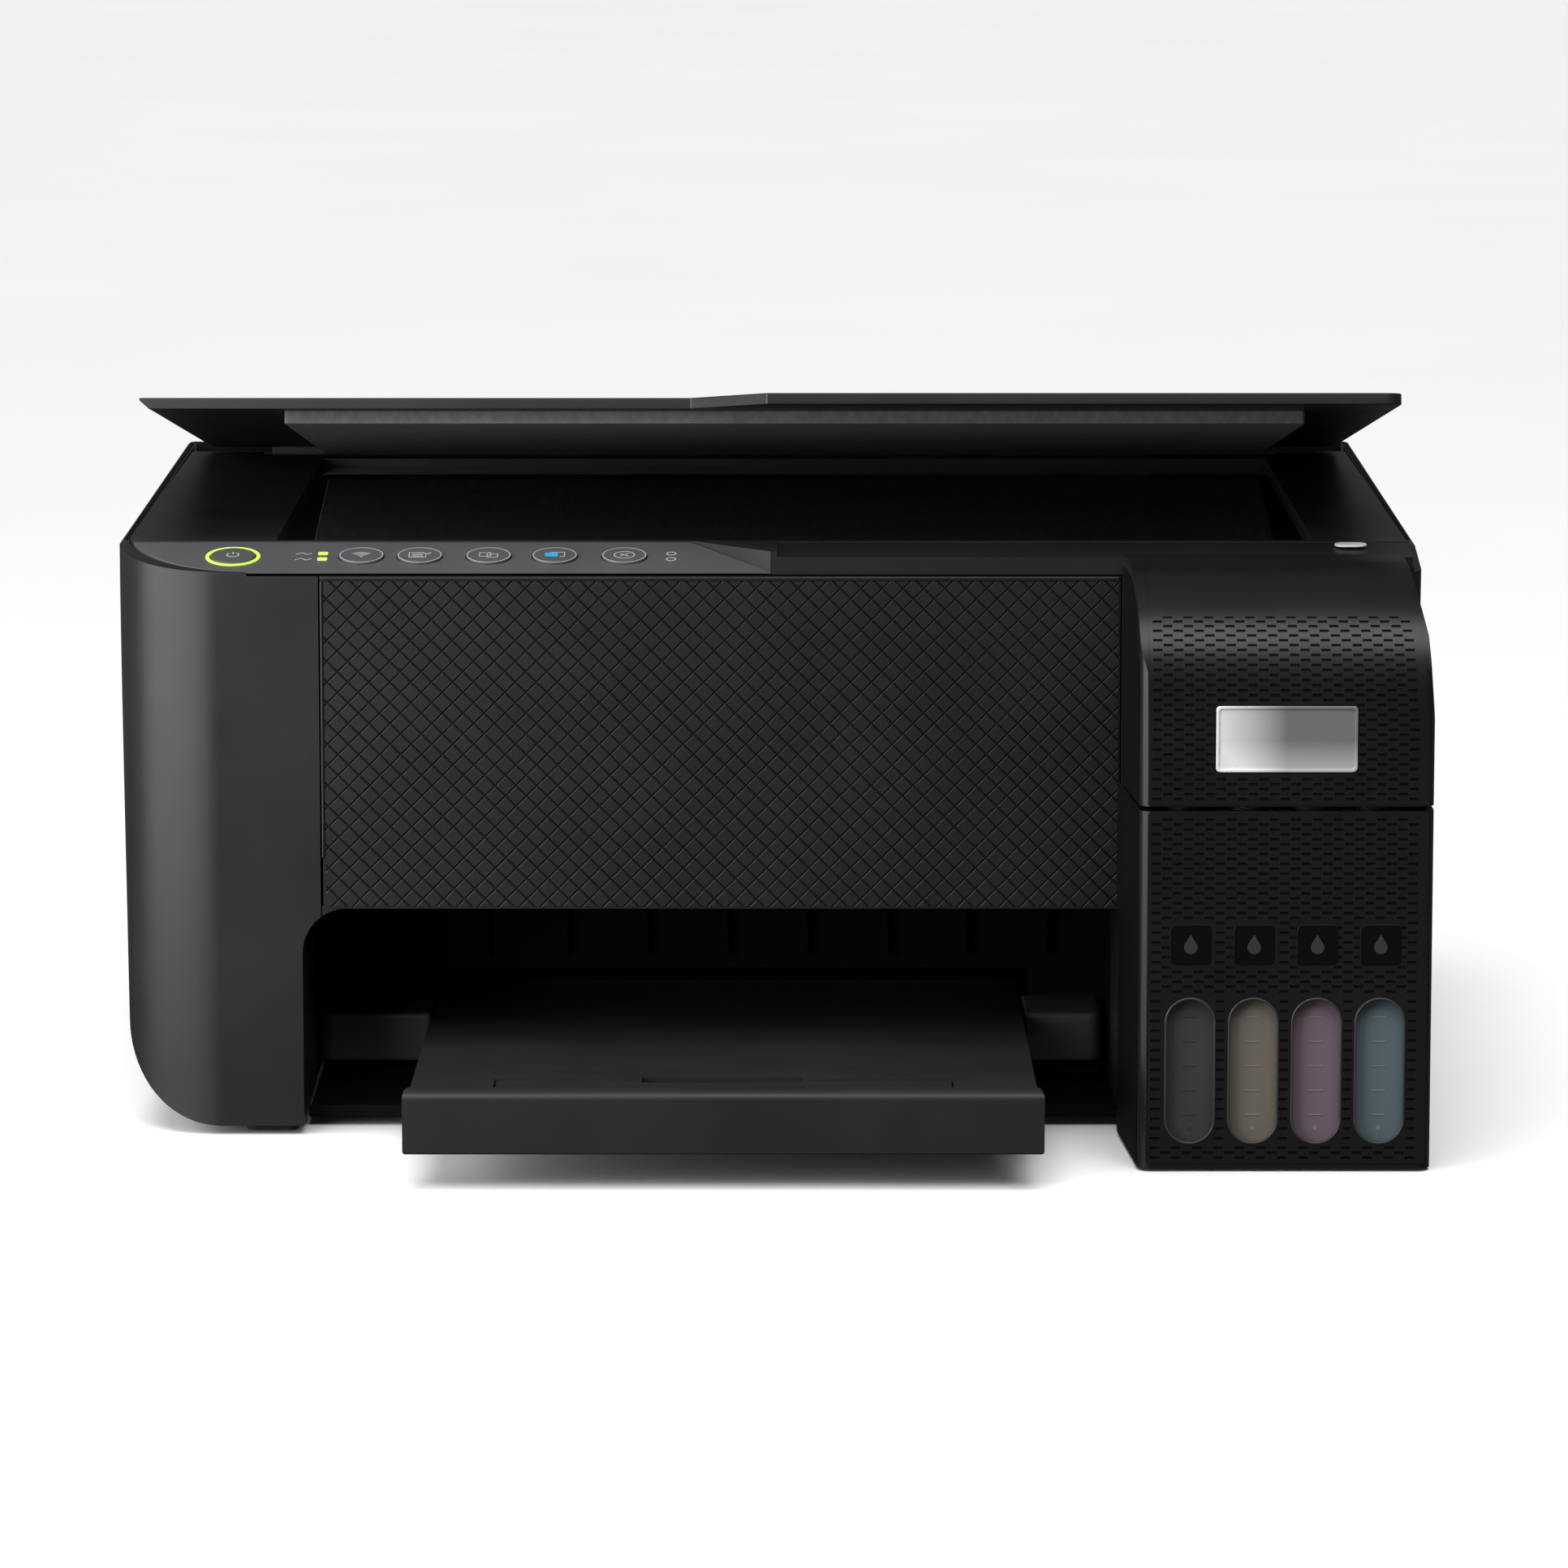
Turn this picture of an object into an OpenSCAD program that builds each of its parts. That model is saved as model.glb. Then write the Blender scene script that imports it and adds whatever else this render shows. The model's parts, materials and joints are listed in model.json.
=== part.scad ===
/* [Body] */
// Overall width of the printer
body_w = 375; // [372:1:378]
// Depth of the main body behind its front plane
body_d = 294; // [292:1:296]
// Height of the scanner bed's top face
bed_top = 169.7; // [169.2:0.1:170.2]
// Wall thickness of the outer covers
wall = 2.4; // [2:0.1:2.6]
// Radius of the rounded front left column
column_r = 30; // [26:1:32]
// Radius of the column's lower left corner
toe_r = 28; // [24:1:30]

/* [Output bay] */
// Left face of the output bay
bay_x0 = -133.8; // [-134.5:0.1:-133]
// Right face of the output bay
bay_x1 = 101.2; // [100.8:0.1:101.4]
// Underside of the front panel
bay_top = 66.2; // [65:0.1:68]
// Radius of the bay's top left corner
bay_r = 13; // [10:1:15]

/* [Output tray] */
// Width of the tray's front lip
tray_w = 179; // [176:0.5:180]
// How far the tray stands out of the front plane
tray_out = 78; // [70:1:90]
// Height of the tray's front lip
tray_lip_h = 18; // [17:0.5:19]

/* [Document cover] */
// Angle at which the document cover stands ajar
cover_angle = 8.8; // [4:0.1:12]
// Thickness of the cover's top plate
cover_t = 3.3; // [3:0.1:3.6]

/* [Control panel] */
// Diameter of the round buttons
button_d = 12.8; // [12:0.1:13.2]
// Height of a button above the panel
button_proud = 0.6; // [0.4:0.1:0.8]

/* [Ink tanks] */
// How far the tank unit stands in front of the body
tank_out = 52; // [50:1:54]
// Distance between neighbouring tanks
tank_pitch = 17.8; // [17.4:0.1:18]
// Width of a level window
window_w = 14; // [12:0.5:14.5]
// Radius of the tank cover's rounded front
tank_cover_r = 33; // [30:1:34]

/* [Drive] */
// Teeth on the feed roller's gear
gear_teeth = 36; // [30:1:40]
// Teeth on the feed motor's pinion
pinion_teeth = 12; // [12:1:14]
// Radius of the feed roller
feed_r = 7; // [6.5:0.1:7.2]

/* [Hidden] */
$fn = 64;
eps = 0.5;
// Pitch diameter of a gear for each tooth
gear_module = 1;
half_w = body_w / 2;
// Middle of the printer front to back, tray included, so that the origin is under its centre
mid_y = (body_d - tray_out) / 2;
floor_z = 2.5;
cover_top = 162.6;
column_x = -128;
seam = 0.4;
draft = 2.3;
// Scanner unit
bed_z0 = 163.1;
// Side walls of the body that stand around the scanner unit
rim_t = 2.3;
rim_top = 170.4;
rim_y1 = 288;
bezel_x0 = -27;
bezel_y1 = 24;
bezel_fill = 19.6;
bezel_z0 = 168;
unit_r = 36.3;
bed_y1 = 266;
glass_x0 = -142;
glass_x1 = 158;
glass_y0 = 27;
glass_y1 = 243;
plate_t = 2.5;
glass_t = 3;
pan_z0 = 132;
lift_y = 266;
lift_z = 160;
// Document cover hinge line and step
lid_y = 262;
lid_z = 167.2;
lid_half = 181.5;
lid_z0 = 171.5;
lid_step_y = 27;
lid_step_x = [-22, 0];
// Control panel slope
panel_y1 = 25;
panel_z0 = 163.9;
panel_z1 = 169.4;
button_h = 2.4;
panel_rise = (panel_z1 - panel_z0) / panel_y1;
panel_tilt = atan(panel_rise);
button_y = 12.5;
button_z = panel_z0 + button_y * panel_rise;
button_x = [-153.5, -116.6, -99.8, -80, -61, -41];
// Tank unit
tank_x0 = 104.8;
tank_x1 = 187.3;
tank_z0 = 0.7;
tank_r = 4;
tank_seam = 103.4;
tank_cx = [for (i = [0 : 3]) 145.9 + (i - 1.5) * tank_pitch];
neck_y = -30;
cap_pivot = [-16, 109];
lid2_pivot = [-5, 166.3];
lid2_mid = 141.3;
tank_top = 169.5;
// Paper path
lean = 15;
feeder_y = 284;
feeder_z = 165;
feed_y = 178;
feed_z = 73.4;
eject_y = 100;
eject_z = 57;
eject_r = 5.5;
pickup_y = 248.3;
pickup_z = 80.4;
pickup_r = 12;
belt_z = 98;
belt_r = 6;
drive_x = 146;
idler_x = -150;
mesh_angle = 60;
mesh_gap = 0.25;
gear_r = gear_module * gear_teeth / 2;
pinion_r = gear_module * pinion_teeth / 2;
pinion_y = feed_y + (gear_r + pinion_r + mesh_gap) * cos(mesh_angle);
pinion_z = feed_z + (gear_r + pinion_r + mesh_gap) * sin(mesh_angle);
tray_x0 = -12 - tray_w / 2;
tray_x1 = -12 + tray_w / 2;
tray_z0 = 10;
tray_y1 = 130;

// ---------- shared shapes ----------

// Moves a part from the front plane's frame to the printer's own frame
module placed() translate([0, -mid_y, 0]) children();

// A box between two corners
module box(a, b) translate(a) cube(b - a);

// Removes everything outside a quarter circle at the origin's corner, towards +X and +Y
module corner_cut(r) difference() {
    translate([-eps, -eps]) square(r + eps);
    translate([r, r]) circle(r);
}

// A rectangle with its own radius at each corner: lower left, lower right, upper right, upper left
module corner_rect(x0, y0, x1, y1, r) difference() {
    translate([x0, y0]) square([x1 - x0, y1 - y0]);
    if (r[0] > 0) translate([x0, y0]) corner_cut(r[0]);
    if (r[1] > 0) translate([x1, y0]) mirror([1, 0]) corner_cut(r[1]);
    if (r[2] > 0) translate([x1, y1]) mirror([1, 0]) mirror([0, 1]) corner_cut(r[2]);
    if (r[3] > 0) translate([x0, y1]) mirror([0, 1]) corner_cut(r[3]);
}

// Extrudes an outline drawn in X and Y upwards
module upright(z0, z1) translate([0, 0, z0]) linear_extrude(z1 - z0) children();

// Extrudes an outline drawn in X and Z from front to back
module front_to_back(y0, y1) translate([0, y1, 0]) rotate([90, 0, 0]) linear_extrude(y1 - y0) children();

// Extrudes an outline drawn in Y and Z from left to right
module left_to_right(x0, x1) translate([x0, 0, 0]) rotate([90, 0, 90]) linear_extrude(x1 - x0) children();

// A round bar along X through a point of the YZ plane
module bar_x(x0, x1, y, z, r) translate([x0, y, z]) rotate([0, 90, 0]) cylinder(h = x1 - x0, r = r);

// A round bar along Y through a point of the XZ plane
module bar_y(y0, y1, x, z, r) translate([x, y0, z]) rotate([-90, 0, 0]) cylinder(h = y1 - y0, r = r);

// The body's outline seen from above
module body_plan(inset) corner_rect(-half_w + inset, inset, half_w - inset, body_d - inset,
    [column_r - inset, 4, 12 - inset, 12 - inset]);

// The scanner unit's outline seen from above, inside the body's side walls
module unit_plan(inset) corner_rect(-half_w + rim_t + inset, inset, half_w - rim_t - inset, bed_y1,
    [unit_r - inset, 2, 4, 4]);

// The side walls around the scanner unit, which follow the control panel's slope at the front
module side_rim() intersection() {
    upright(cover_top - eps, rim_top) difference() {
        body_plan(0);
        unit_plan(0);
        translate([-half_w + rim_t, bed_y1 - 10]) square([2 * (half_w - rim_t), body_d]);
    }
    left_to_right(-half_w - 1, half_w + 1) polygon([[-1, cover_top - 2], [-1, panel_z0 - panel_rise],
        [panel_y1, panel_z1 - 1], [rim_y1, rim_top], [rim_y1, cover_top - 2]]);
}

// A low wall across the rear deck that hides the gap under the document cover's hinges
module deck_wall(x0, x1) box([x0, 276, cover_top - 1], [x1, 278, 171.2]);

// The left column's outline seen from the front
module column_front(inset) difference() {
    x0 = -half_w + inset;
    polygon([[x0, cover_top + 2 * inset], [x0 + draft, floor_z + inset],
        [0, floor_z + inset], [0, cover_top + 2 * inset]]);
    translate([x0 + draft * (1 - toe_r / cover_top), floor_z + inset]) corner_cut(toe_r - inset);
}

// The output bay's outline seen from the front
module bay_outline(grow) corner_rect(bay_x0 - grow, -10, bay_x1 + grow, bay_top + grow,
    [0, 0, 0, bay_r + grow]);

// The skin that lines the output bay
module bay_liner(y0, y1, t) front_to_back(y0, y1) difference() {
    bay_outline(t);
    bay_outline(0);
}

// Places a shape in the frame of the leaning paper feeder: Z runs up the slope
module leaning() translate([0, feeder_y, feeder_z]) rotate([-lean, 0, 0]) children();

// Turns a shape modelled on the closed cover to the angle at which the cover stands
module ajar() translate([0, lid_y, lid_z]) rotate([-cover_angle, 0, 0]) translate([0, -lid_y, -lid_z])
    children();

// Places a shape on the control panel's slope, Z along its normal
module on_panel(x) translate([x, button_y, button_z]) rotate([panel_tilt, 0, 0]) children();

// ---------- outer covers ----------

module base_tray() placed() color("dimgray") {
    difference() {
        box([bay_x0 + 0.6, 13, floor_z], [tank_x0 + 78, 290, floor_z + 2]);
        for (y = [110 : 24 : 230]) box([-60, y, 0], [60, y + 10, 10]);
    }
    box([bay_x0 + 0.6, 13, floor_z + 2], [bay_x1 - 0.6, 15, floor_z + 3.5]);
}

module rubber_feet() placed() color("black") {
    upright(0, floor_z) {
        corner_rect(-151, 6, -136, 22, [3, 3, 3, 3]);
        corner_rect(-151, 262, -136, 278, [3, 3, 3, 3]);
        corner_rect(150, 262, 165, 278, [3, 3, 3, 3]);
    }
    upright(0, tank_z0) corner_rect(135, -36, 157, -20, [3, 3, 3, 3]);
}

// The rear top corner deck of a side cover, mirrored for the right side
module rear_deck() box([-half_w, 273, cover_top - 2], [-121, body_d, cover_top + 2]);

// Boss that carries the scanner unit's hinge pin
module lift_boss() difference() {
    bar_x(-half_w + wall - eps / 2, -180, lift_y, lift_z, 5.4);
    bar_x(-half_w + wall + 0.2, -179, lift_y, lift_z, 3.55);
}

module left_side_cover() placed() color("#1c1c1e") {
    difference() {
        intersection() {
            upright(floor_z, cover_top) body_plan(0);
            front_to_back(-eps, body_d + eps) column_front(0);
            box([-half_w - eps, -eps, 0], [column_x - seam, body_d + eps, cover_top]);
        }
        difference() {
            intersection() {
                upright(floor_z, cover_top + eps) body_plan(wall);
                front_to_back(-eps, body_d + eps) column_front(wall);
            }
            rear_deck();
        }
        front_to_back(-eps, 70) bay_outline(0);
        box([-136, 62, 0], [-120, 272.5, cover_top + eps]);
        box([-136, 62, 0], [-120, body_d - wall, cover_top - 2.5]);
        box([-173.3, body_d - 5, 29.7], [-148.7, body_d + eps, 44.3]);
    }
    intersection() {
        bay_liner(0.3, 60, wall);
        box([-half_w, 0, floor_z], [column_x - seam, 60, cover_top]);
    }
    intersection() {
        side_rim();
        box([-half_w - 1, -1, 0], [0, body_d, body_d]);
    }
    deck_wall(-half_w + 3, -121.5);
    lift_boss();
}

module right_side_cover() placed() color("#1c1c1e") {
    difference() {
        intersection() {
            upright(floor_z, cover_top) body_plan(0);
            mirror([1, 0, 0]) front_to_back(-eps, body_d + eps) polygon([
                [-half_w + 0.2, cover_top], [-half_w + draft, floor_z], [0, floor_z], [0, cover_top]]);
            box([bay_x1 + seam, -eps, 0], [half_w + eps, body_d + eps, cover_top]);
        }
        difference() {
            upright(floor_z + wall, cover_top + eps) body_plan(wall + 0.2);
            mirror([1, 0, 0]) rear_deck();
        }
        box([bay_x1 - eps, 80, 0], [128, 272.5, cover_top + eps]);
        box([bay_x1 - eps, 80, 0], [128, body_d + eps, cover_top - 2.5]);
        box([bay_x1 - eps, 272, cover_top - 3], [122, body_d + eps, cover_top + eps]);
        box([bay_x1 - eps, 12.8, 0], [tank_x0 + 78.2, 290.3, floor_z + wall + 0.1]);
        for (x = tank_cx) bar_y(-eps, wall + 1, x, 12, 2.4);
        box([149.7, body_d - 5, 39.7], [162.3, body_d + eps, 50.8]);
    }
    box([bay_x1 + seam, 0.3, floor_z + 2.4], [bay_x1 + seam + 2, 60.3, bay_top + 20]);
    intersection() {
        side_rim();
        box([0, -1, 0], [half_w - 0.2, body_d, body_d]);
    }
    deck_wall(122.5, half_w - 3);
    mirror([1, 0, 0]) lift_boss();
}

screw_x = 112;
screw_z = [16, 140];

module rear_cover() placed() color("#202022") difference() {
    box([column_x + 0.2, body_d - wall, floor_z + 2.4], [-column_x - 0.4, body_d, 157]);
    for (x = [-1, 1], z = screw_z) {
        bar_y(body_d - wall - eps, body_d + eps, x * screw_x, z, 1.5);
        bar_y(body_d - 1.4, body_d + eps, x * screw_x, z, 3.2);
    }
    for (i = [0 : 9]) box([-70 + 15 * i, body_d - 4, 50], [-66 + 15 * i, body_d + eps, 80]);
}

module screws() placed() color("silver") for (x = [-1, 1], z = screw_z) difference() {
    union() {
        bar_y(body_d - 6, body_d - 1.2, x * screw_x, z, 1.4);
        bar_y(body_d - 1.35, body_d - 0.1, x * screw_x, z, 3);
    }
    box([x * screw_x - 2, body_d - 0.7, z - 0.3], [x * screw_x + 2, body_d, z + 0.3]);
}

module front_panel() placed() color("#19191b") {
    difference() {
        box([column_x + seam, 0, bay_top], [bay_x1, wall + 0.2, cover_top]);
        front_to_back(-eps, 10) bay_outline(0);
    }
    intersection() {
        bay_liner(0.2, 40, wall);
        box([column_x, 0.2, 40], [bay_x1, 40, bay_top + bay_r]);
    }
    box([column_x, 1, cover_top - 2], [bay_x1, 12, cover_top]);
    for (x = [-100 : 40 : 60]) box([x, 2, bay_top + 2], [x + 1.6, 9, cover_top - 1]);
}

module exit_frame() placed() color("#121213") {
    block_y = 65;
    back_y = 94;
    intersection() {
        bay_liner(60.6, back_y + 2, 1.6);
        box([bay_x0 - wall, 60, floor_z + 2.5], [bay_x1 + wall, back_y + 2, bay_top + wall]);
    }
    difference() {
        box([bay_x0, back_y, floor_z + 2.2], [bay_x1, back_y + 2, bay_top + 1]);
        box([tray_x0 - 1, back_y - 1, 16], [tray_x1 + 1, back_y + 3, 32]);
        box([-118, back_y - 1, 52], [98, back_y + 3, 66]);
    }
    box([bay_x0 + 1.4, block_y + 3, floor_z + 2.2], [bay_x1 - 2, back_y + 1, 16.5]);
    upright(9, 22.5) {
        corner_rect(bay_x0 + 0.3, block_y, tray_x0 + 1.3, back_y + 1, [4, 0.8, 0, 0]);
        corner_rect(tray_x1 - 1.3, block_y, bay_x1 - 2, back_y + 1, [0.8, 4, 0, 0]);
    }
    for (i = [0 : 8]) box([-110 + 24 * i, back_y - 4, 36], [-108 + 24 * i, back_y + 1, 50]);
}

// ---------- ink tank unit ----------

// The tank unit's side silhouette in Y and Z
module tank_side(inset) {
    r = tank_cover_r - inset;
    y0 = -tank_out + inset;
    translate([y0, -5]) square([-inset - y0 + 2, 5 + tank_top - tank_cover_r]);
    translate([-tank_out + tank_cover_r, -5]) square([tank_out - tank_cover_r, 5 + tank_top - inset]);
    translate([-tank_out + tank_cover_r, tank_top - tank_cover_r]) circle(r);
}

// The tank unit's front silhouette in X and Z, narrower towards the top right
module tank_front(inset) polygon([
    [bay_x1 - 2, 0], [tank_x1 - inset, 0], [tank_x1 - inset, 128],
    [tank_x1 - inset - 2, 152], [tank_x1 - inset - 6.5, tank_top + 1], [bay_x1 - 2, tank_top + 1]]);

// The tank unit's outline seen from above: its left wall slants in towards the round front corner
module tank_plan(inset, y1) {
    slant = atan((tank_x0 - bay_x1) / tank_out);
    y0 = -tank_out;
    r = tank_r - inset;
    cx = tank_x0 + tank_r * (1 - sin(slant)) / cos(slant);
    cy = y0 + tank_r;
    polygon([[tank_x0 + (inset - sin(slant) * (y1 - y0)) / cos(slant), y1],
        [cx - r * cos(slant), cy - r * sin(slant)], [cx, y0 + inset],
        [tank_x1 - tank_r, y0 + inset], [tank_x1 - inset, cy], [tank_x1 - inset, y1]]);
    translate([cx, cy]) circle(r);
    translate([tank_x1 - tank_r, cy]) circle(r);
}

module tank_block(inset, z0, z1, y1) intersection() {
    left_to_right(bay_x1 - 1, tank_x1 + 1) tank_side(inset);
    front_to_back(-tank_out - 1, y1) tank_front(inset);
    upright(z0, z1) tank_plan(inset, y1);
}

module tank_housing() placed() color("#18181a") {
    difference() {
        tank_block(0, tank_z0, tank_seam - 0.7, -seam);
        tank_block(wall, tank_z0 + 2, tank_seam + 1, -seam - 1.2);
        for (x = tank_cx) front_to_back(-tank_out - 1, -tank_out + wall + 1)
            corner_rect(x - window_w / 2, 7.9, x + window_w / 2, 49.6,
                [for (k = [0 : 3]) window_w / 2 - 0.01]);
        for (x = tank_cx) bar_y(-3, 1, x, 12, 2.4);
    }
    difference() {
        box([bay_x1 + 1.2, -1.6, tank_seam - 2], [tank_x1 - 7, -seam, 168.8]);
        for (x = tank_cx) bar_y(-3, 1, x, 12, 2.4);
    }
    for (s = [-1, 1]) {
        x = lid2_mid + s * 29;
        box([min(x, x + s * 4), lid2_pivot[0] - 1.8, 158], [max(x, x + s * 4), -1.4, lid2_pivot[1] - 0.8]);
        bar_x(min(x, x + s * 7), max(x, x + s * 7), lid2_pivot[0], lid2_pivot[1], 0.9);
    }
}

module ink_tank(i) placed() {
    x = tank_cx[i];
    w = tank_pitch / 2 - 0.5;
    difference() {
        union() {
            box([x - w, -tank_out + wall + 0.3, tank_z0 + 2.2], [x + w, -6, 96]);
            translate([x, neck_y, 95]) cylinder(h = 9, r = 5.5);
            for (d = [-5.4, 3.8]) box([x + d, cap_pivot[0] - 2, 95], [x + d + 1.6, cap_pivot[0] + 2, 110.8]);
            bar_x(x - 4.5, x + 4.5, cap_pivot[0], cap_pivot[1], 1.2);
        }
        box([x - w + 1.2, -tank_out + wall + 1.5, tank_z0 + 3.6], [x + w - 1.2, -7.2, 94.8]);
        translate([x, neck_y, 90]) cylinder(h = 20, r = 3.8);
        bar_y(-8, -5, x, 12, 1.9);
    }
}

module ink_tank_black() color([0.2, 0.2, 0.22]) ink_tank(0);
module ink_tank_yellow() color([0.45, 0.4, 0.3]) ink_tank(1);
module ink_tank_magenta() color([0.4, 0.3, 0.4]) ink_tank(2);
module ink_tank_cyan() color([0.3, 0.4, 0.5]) ink_tank(3);

module tank_cap(i) placed() {
    x = tank_cx[i];
    difference() {
        union() {
            translate([x, neck_y, 104.4]) cylinder(h = 7.5, r = 7);
            box([x - 3, neck_y + 5, 106.5], [x + 3, cap_pivot[0], 111.2]);
            bar_x(x - 3, x + 3, cap_pivot[0], cap_pivot[1], 2.5);
            box([x - 3.5, neck_y - 10.5, 109.5], [x + 3.5, neck_y - 5, 111.9]);
        }
        bar_x(x - 4, x + 4, cap_pivot[0], cap_pivot[1], 1.25);
    }
}

module tank_cap_black() color("#3a3a3c") tank_cap(0);
module tank_cap_yellow() color("#b8a428") tank_cap(1);
module tank_cap_magenta() color("#a8327a") tank_cap(2);
module tank_cap_cyan() color("#2c84b4") tank_cap(3);

module ink_tank_cover() placed() color("#18181a") {
    z0 = tank_seam + 0.7;
    difference() {
        tank_block(0, z0, tank_top + 1, lid2_pivot[0]);
        tank_block(2.2, z0 - 1, tank_top + 1, lid2_pivot[0] + 1);
        box([125.6, -tank_out - 1, 113.7], [165.7, -tank_out + 0.8, 132.8]);
    }
    for (s = [-1, 1]) {
        x = lid2_mid + s * 34.5;
        difference() {
            union() {
                bar_x(x - 1.3, x + 1.3, lid2_pivot[0], lid2_pivot[1], 2.9);
                box([x - 1.3, lid2_pivot[0] - 2.9, lid2_pivot[1]], [x + 1.3, lid2_pivot[0], tank_top - 1]);
            }
            bar_x(x - 3, x + 3, lid2_pivot[0], lid2_pivot[1], 0.95);
        }
    }
}

module badge_plate() placed() color("silver") front_to_back(-tank_out - 0.4, -tank_out + 0.75)
    corner_rect(125.8, 113.9, 165.5, 132.6, [1, 1, 1, 1]);

module ink_tubes() placed() color("#303030") for (i = [0 : 3]) {
    x = tank_cx[i];
    r = 1.5;
    y1 = 40 + 6 * i;
    z1 = 126.4;
    bar_y(-7.6, y1, x, 12, r);
    translate([x, y1, 12]) sphere(r);
    translate([x, y1, 12]) cylinder(h = z1 - 12, r = r);
    translate([x, y1, z1]) sphere(r);
    bar_x(0, x, y1, z1, r);
}

// ---------- scanner unit ----------

// The slanted right end of the control panel, seen from above
module panel_plan(inset) difference() {
    corner_rect(-half_w + rim_t + inset, inset, lid_step_x[1] + 1, panel_y1, [unit_r - inset, 0, 0, 0]);
    polygon([[lid_step_x[0], panel_y1 + 1], [lid_step_x[0], panel_y1], [lid_step_x[1] + 1, inset],
        [lid_step_x[1] + 1, -1], [20, -1], [20, panel_y1 + 1]]);
}

module scan_bed() placed() color("#141416") {
    difference() {
        upright(bed_z0, bed_top) unit_plan(0.3);
        upright(bed_z0 - 1, bed_top - plate_t) difference() {
            unit_plan(0.3 + wall);
            translate([-half_w, bed_y1 - wall]) square([2 * half_w, wall + 1]);
            translate([bezel_x0, -1]) square([2 * half_w, bezel_fill + 1]);
        }
        // front bezel, which slopes up towards the glass
        left_to_right(lid_step_x[1] + 3, half_w) polygon([[-0.1, bezel_z0], [0, bezel_z0],
            [bezel_y1, bed_top - 0.2], [bezel_y1, bed_top + 0.1], [-0.1, bed_top + 0.1]]);
        box([glass_x0, glass_y0, bed_z0], [glass_x1, glass_y1, bed_top + 1]);
        intersection() {
            upright(bed_z0 - 1, bed_top + 1) offset_panel();
            left_to_right(-half_w - 1, 20) polygon([[-1, bed_z0 - 1], [8.4, bed_z0 - 1], [8.4, bed_z0 + 0.1],
                [panel_y1 + 0.3, bed_top - plate_t], [panel_y1 + 0.3, bed_top + 1], [-1, bed_top + 1]]);
        }
        for (s = [-1, 1]) box([s * 150 - 12, lid_y - 6, bed_z0], [s * 150 + 12, bed_y1 + 1, bed_top + 1]);
        for (s = [-1, 1]) bar_x(min(s * 178, s * 190), max(s * 178, s * 190), lift_y, lift_z, 6);
        // slope behind the document cover's hinge, which clears the opened cover
        left_to_right(-half_w, half_w) polygon([[bed_y1 - 1.4, bed_top + 0.1], [bed_y1 - 1.4, bed_top],
            [bed_y1 + 0.1, bed_top - 2.1], [bed_y1 + 0.1, bed_top + 0.1]]);
    }
    for (s = [-1, 1]) {
        x0 = min(s * 171, s * 177);
        bar_x(x0, x0 + 6, lift_y, lift_z, 5);
        box([x0, lift_y - 5, lift_z], [x0 + 6, lift_y, bed_top - plate_t + 0.2]);
        bar_x(min(s * 176, s * 184.6), max(s * 176, s * 184.6), lift_y, lift_z, 3.5);
    }
    // pins of the document cover's hinge, in the two notches at the rear
    for (s = [-1, 1]) bar_x(s * 150 - 12.2, s * 150 + 12.2, lid_y, lid_z, 1.5);
}

// The panel's plan with its sides opened to the outside, used as a cutter
module offset_panel() difference() {
    translate([-half_w - 1, -1]) square([half_w + 2 + lid_step_x[1], panel_y1 + 1.3]);
    polygon([[lid_step_x[0] + 0.3, panel_y1 + 2], [lid_step_x[0] + 0.3, panel_y1 + 0.3],
        [lid_step_x[1] + 1.3, 0], [lid_step_x[1] + 1.3, -2], [20, -2], [20, panel_y1 + 2]]);
}

module scan_pan() placed() color("#1a1a1c") {
    top = bed_top - plate_t - glass_t;
    difference() {
        box([-152, 20, pan_z0], [168, 252, top]);
        box([-149.6, 22.4, pan_z0 + 2.2], [165.6, 249.6, top + 1]);
    }
    bar_x(-150, 166, 135, 142, 3);
}

module scanner_glass() placed() color([0.1, 0.1, 0.12, 0.5])
    box([glass_x0 - 3, glass_y0 - 1.5, bed_top - plate_t - glass_t], [glass_x1 + 3, glass_y1 + 4, bed_top - plate_t]);

module scan_head() placed() color("#2a2a2c") {
    difference() {
        union() {
            box([-148, 29, 149], [-130, 241, 163.4]);
            box([-148, 127, 137], [-130, 143, 150]);
        }
        bar_x(-150, -128, 135, 142, 3.06);
        box([-142, 31, 161], [-136, 239, 165]);
    }
}

module control_panel() placed() color("#5a5c5e") difference() {
    intersection() {
        upright(bed_z0, bed_top) panel_plan(0.3);
        left_to_right(-half_w, 20) polygon([[0, bed_z0 + 0.2], [0, panel_z0], [panel_y1, panel_z1],
            [panel_y1, panel_z1 - 2], [8, bed_z0 + 0.2]]);
    }
    for (x = button_x) on_panel(x) cylinder(h = 12, r = button_d / 2 + 0.3, center = true);
}

module button(i) placed() on_panel(button_x[i]) translate([0, 0, button_proud - button_h])
    cylinder(h = button_h, r = button_d / 2);

module power_button() color("#4c5048") button(0);
module wifi_button() color("#55575a") button(1);
module status_button() color("#55575a") button(2);
module mono_copy_button() color("#55575a") button(3);
module colour_copy_button() color("#6a8090") button(4);
module stop_button() color("#606264") button(5);

// ---------- document cover ----------

// The cover's outline seen from above, its left part set back behind the control panel
module cover_plan(inset) difference() {
    corner_rect(-lid_half + inset, inset, lid_half - inset, lid_y - 0.4 + 6, [3, 5, 8, 8]);
    polygon([[-lid_half - 1, -1], [-lid_half - 1, lid_step_y + inset], [lid_step_x[0] + inset, lid_step_y + inset],
        [lid_step_x[1] + inset, inset], [lid_step_x[1] + inset, -1]]);
}

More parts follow.
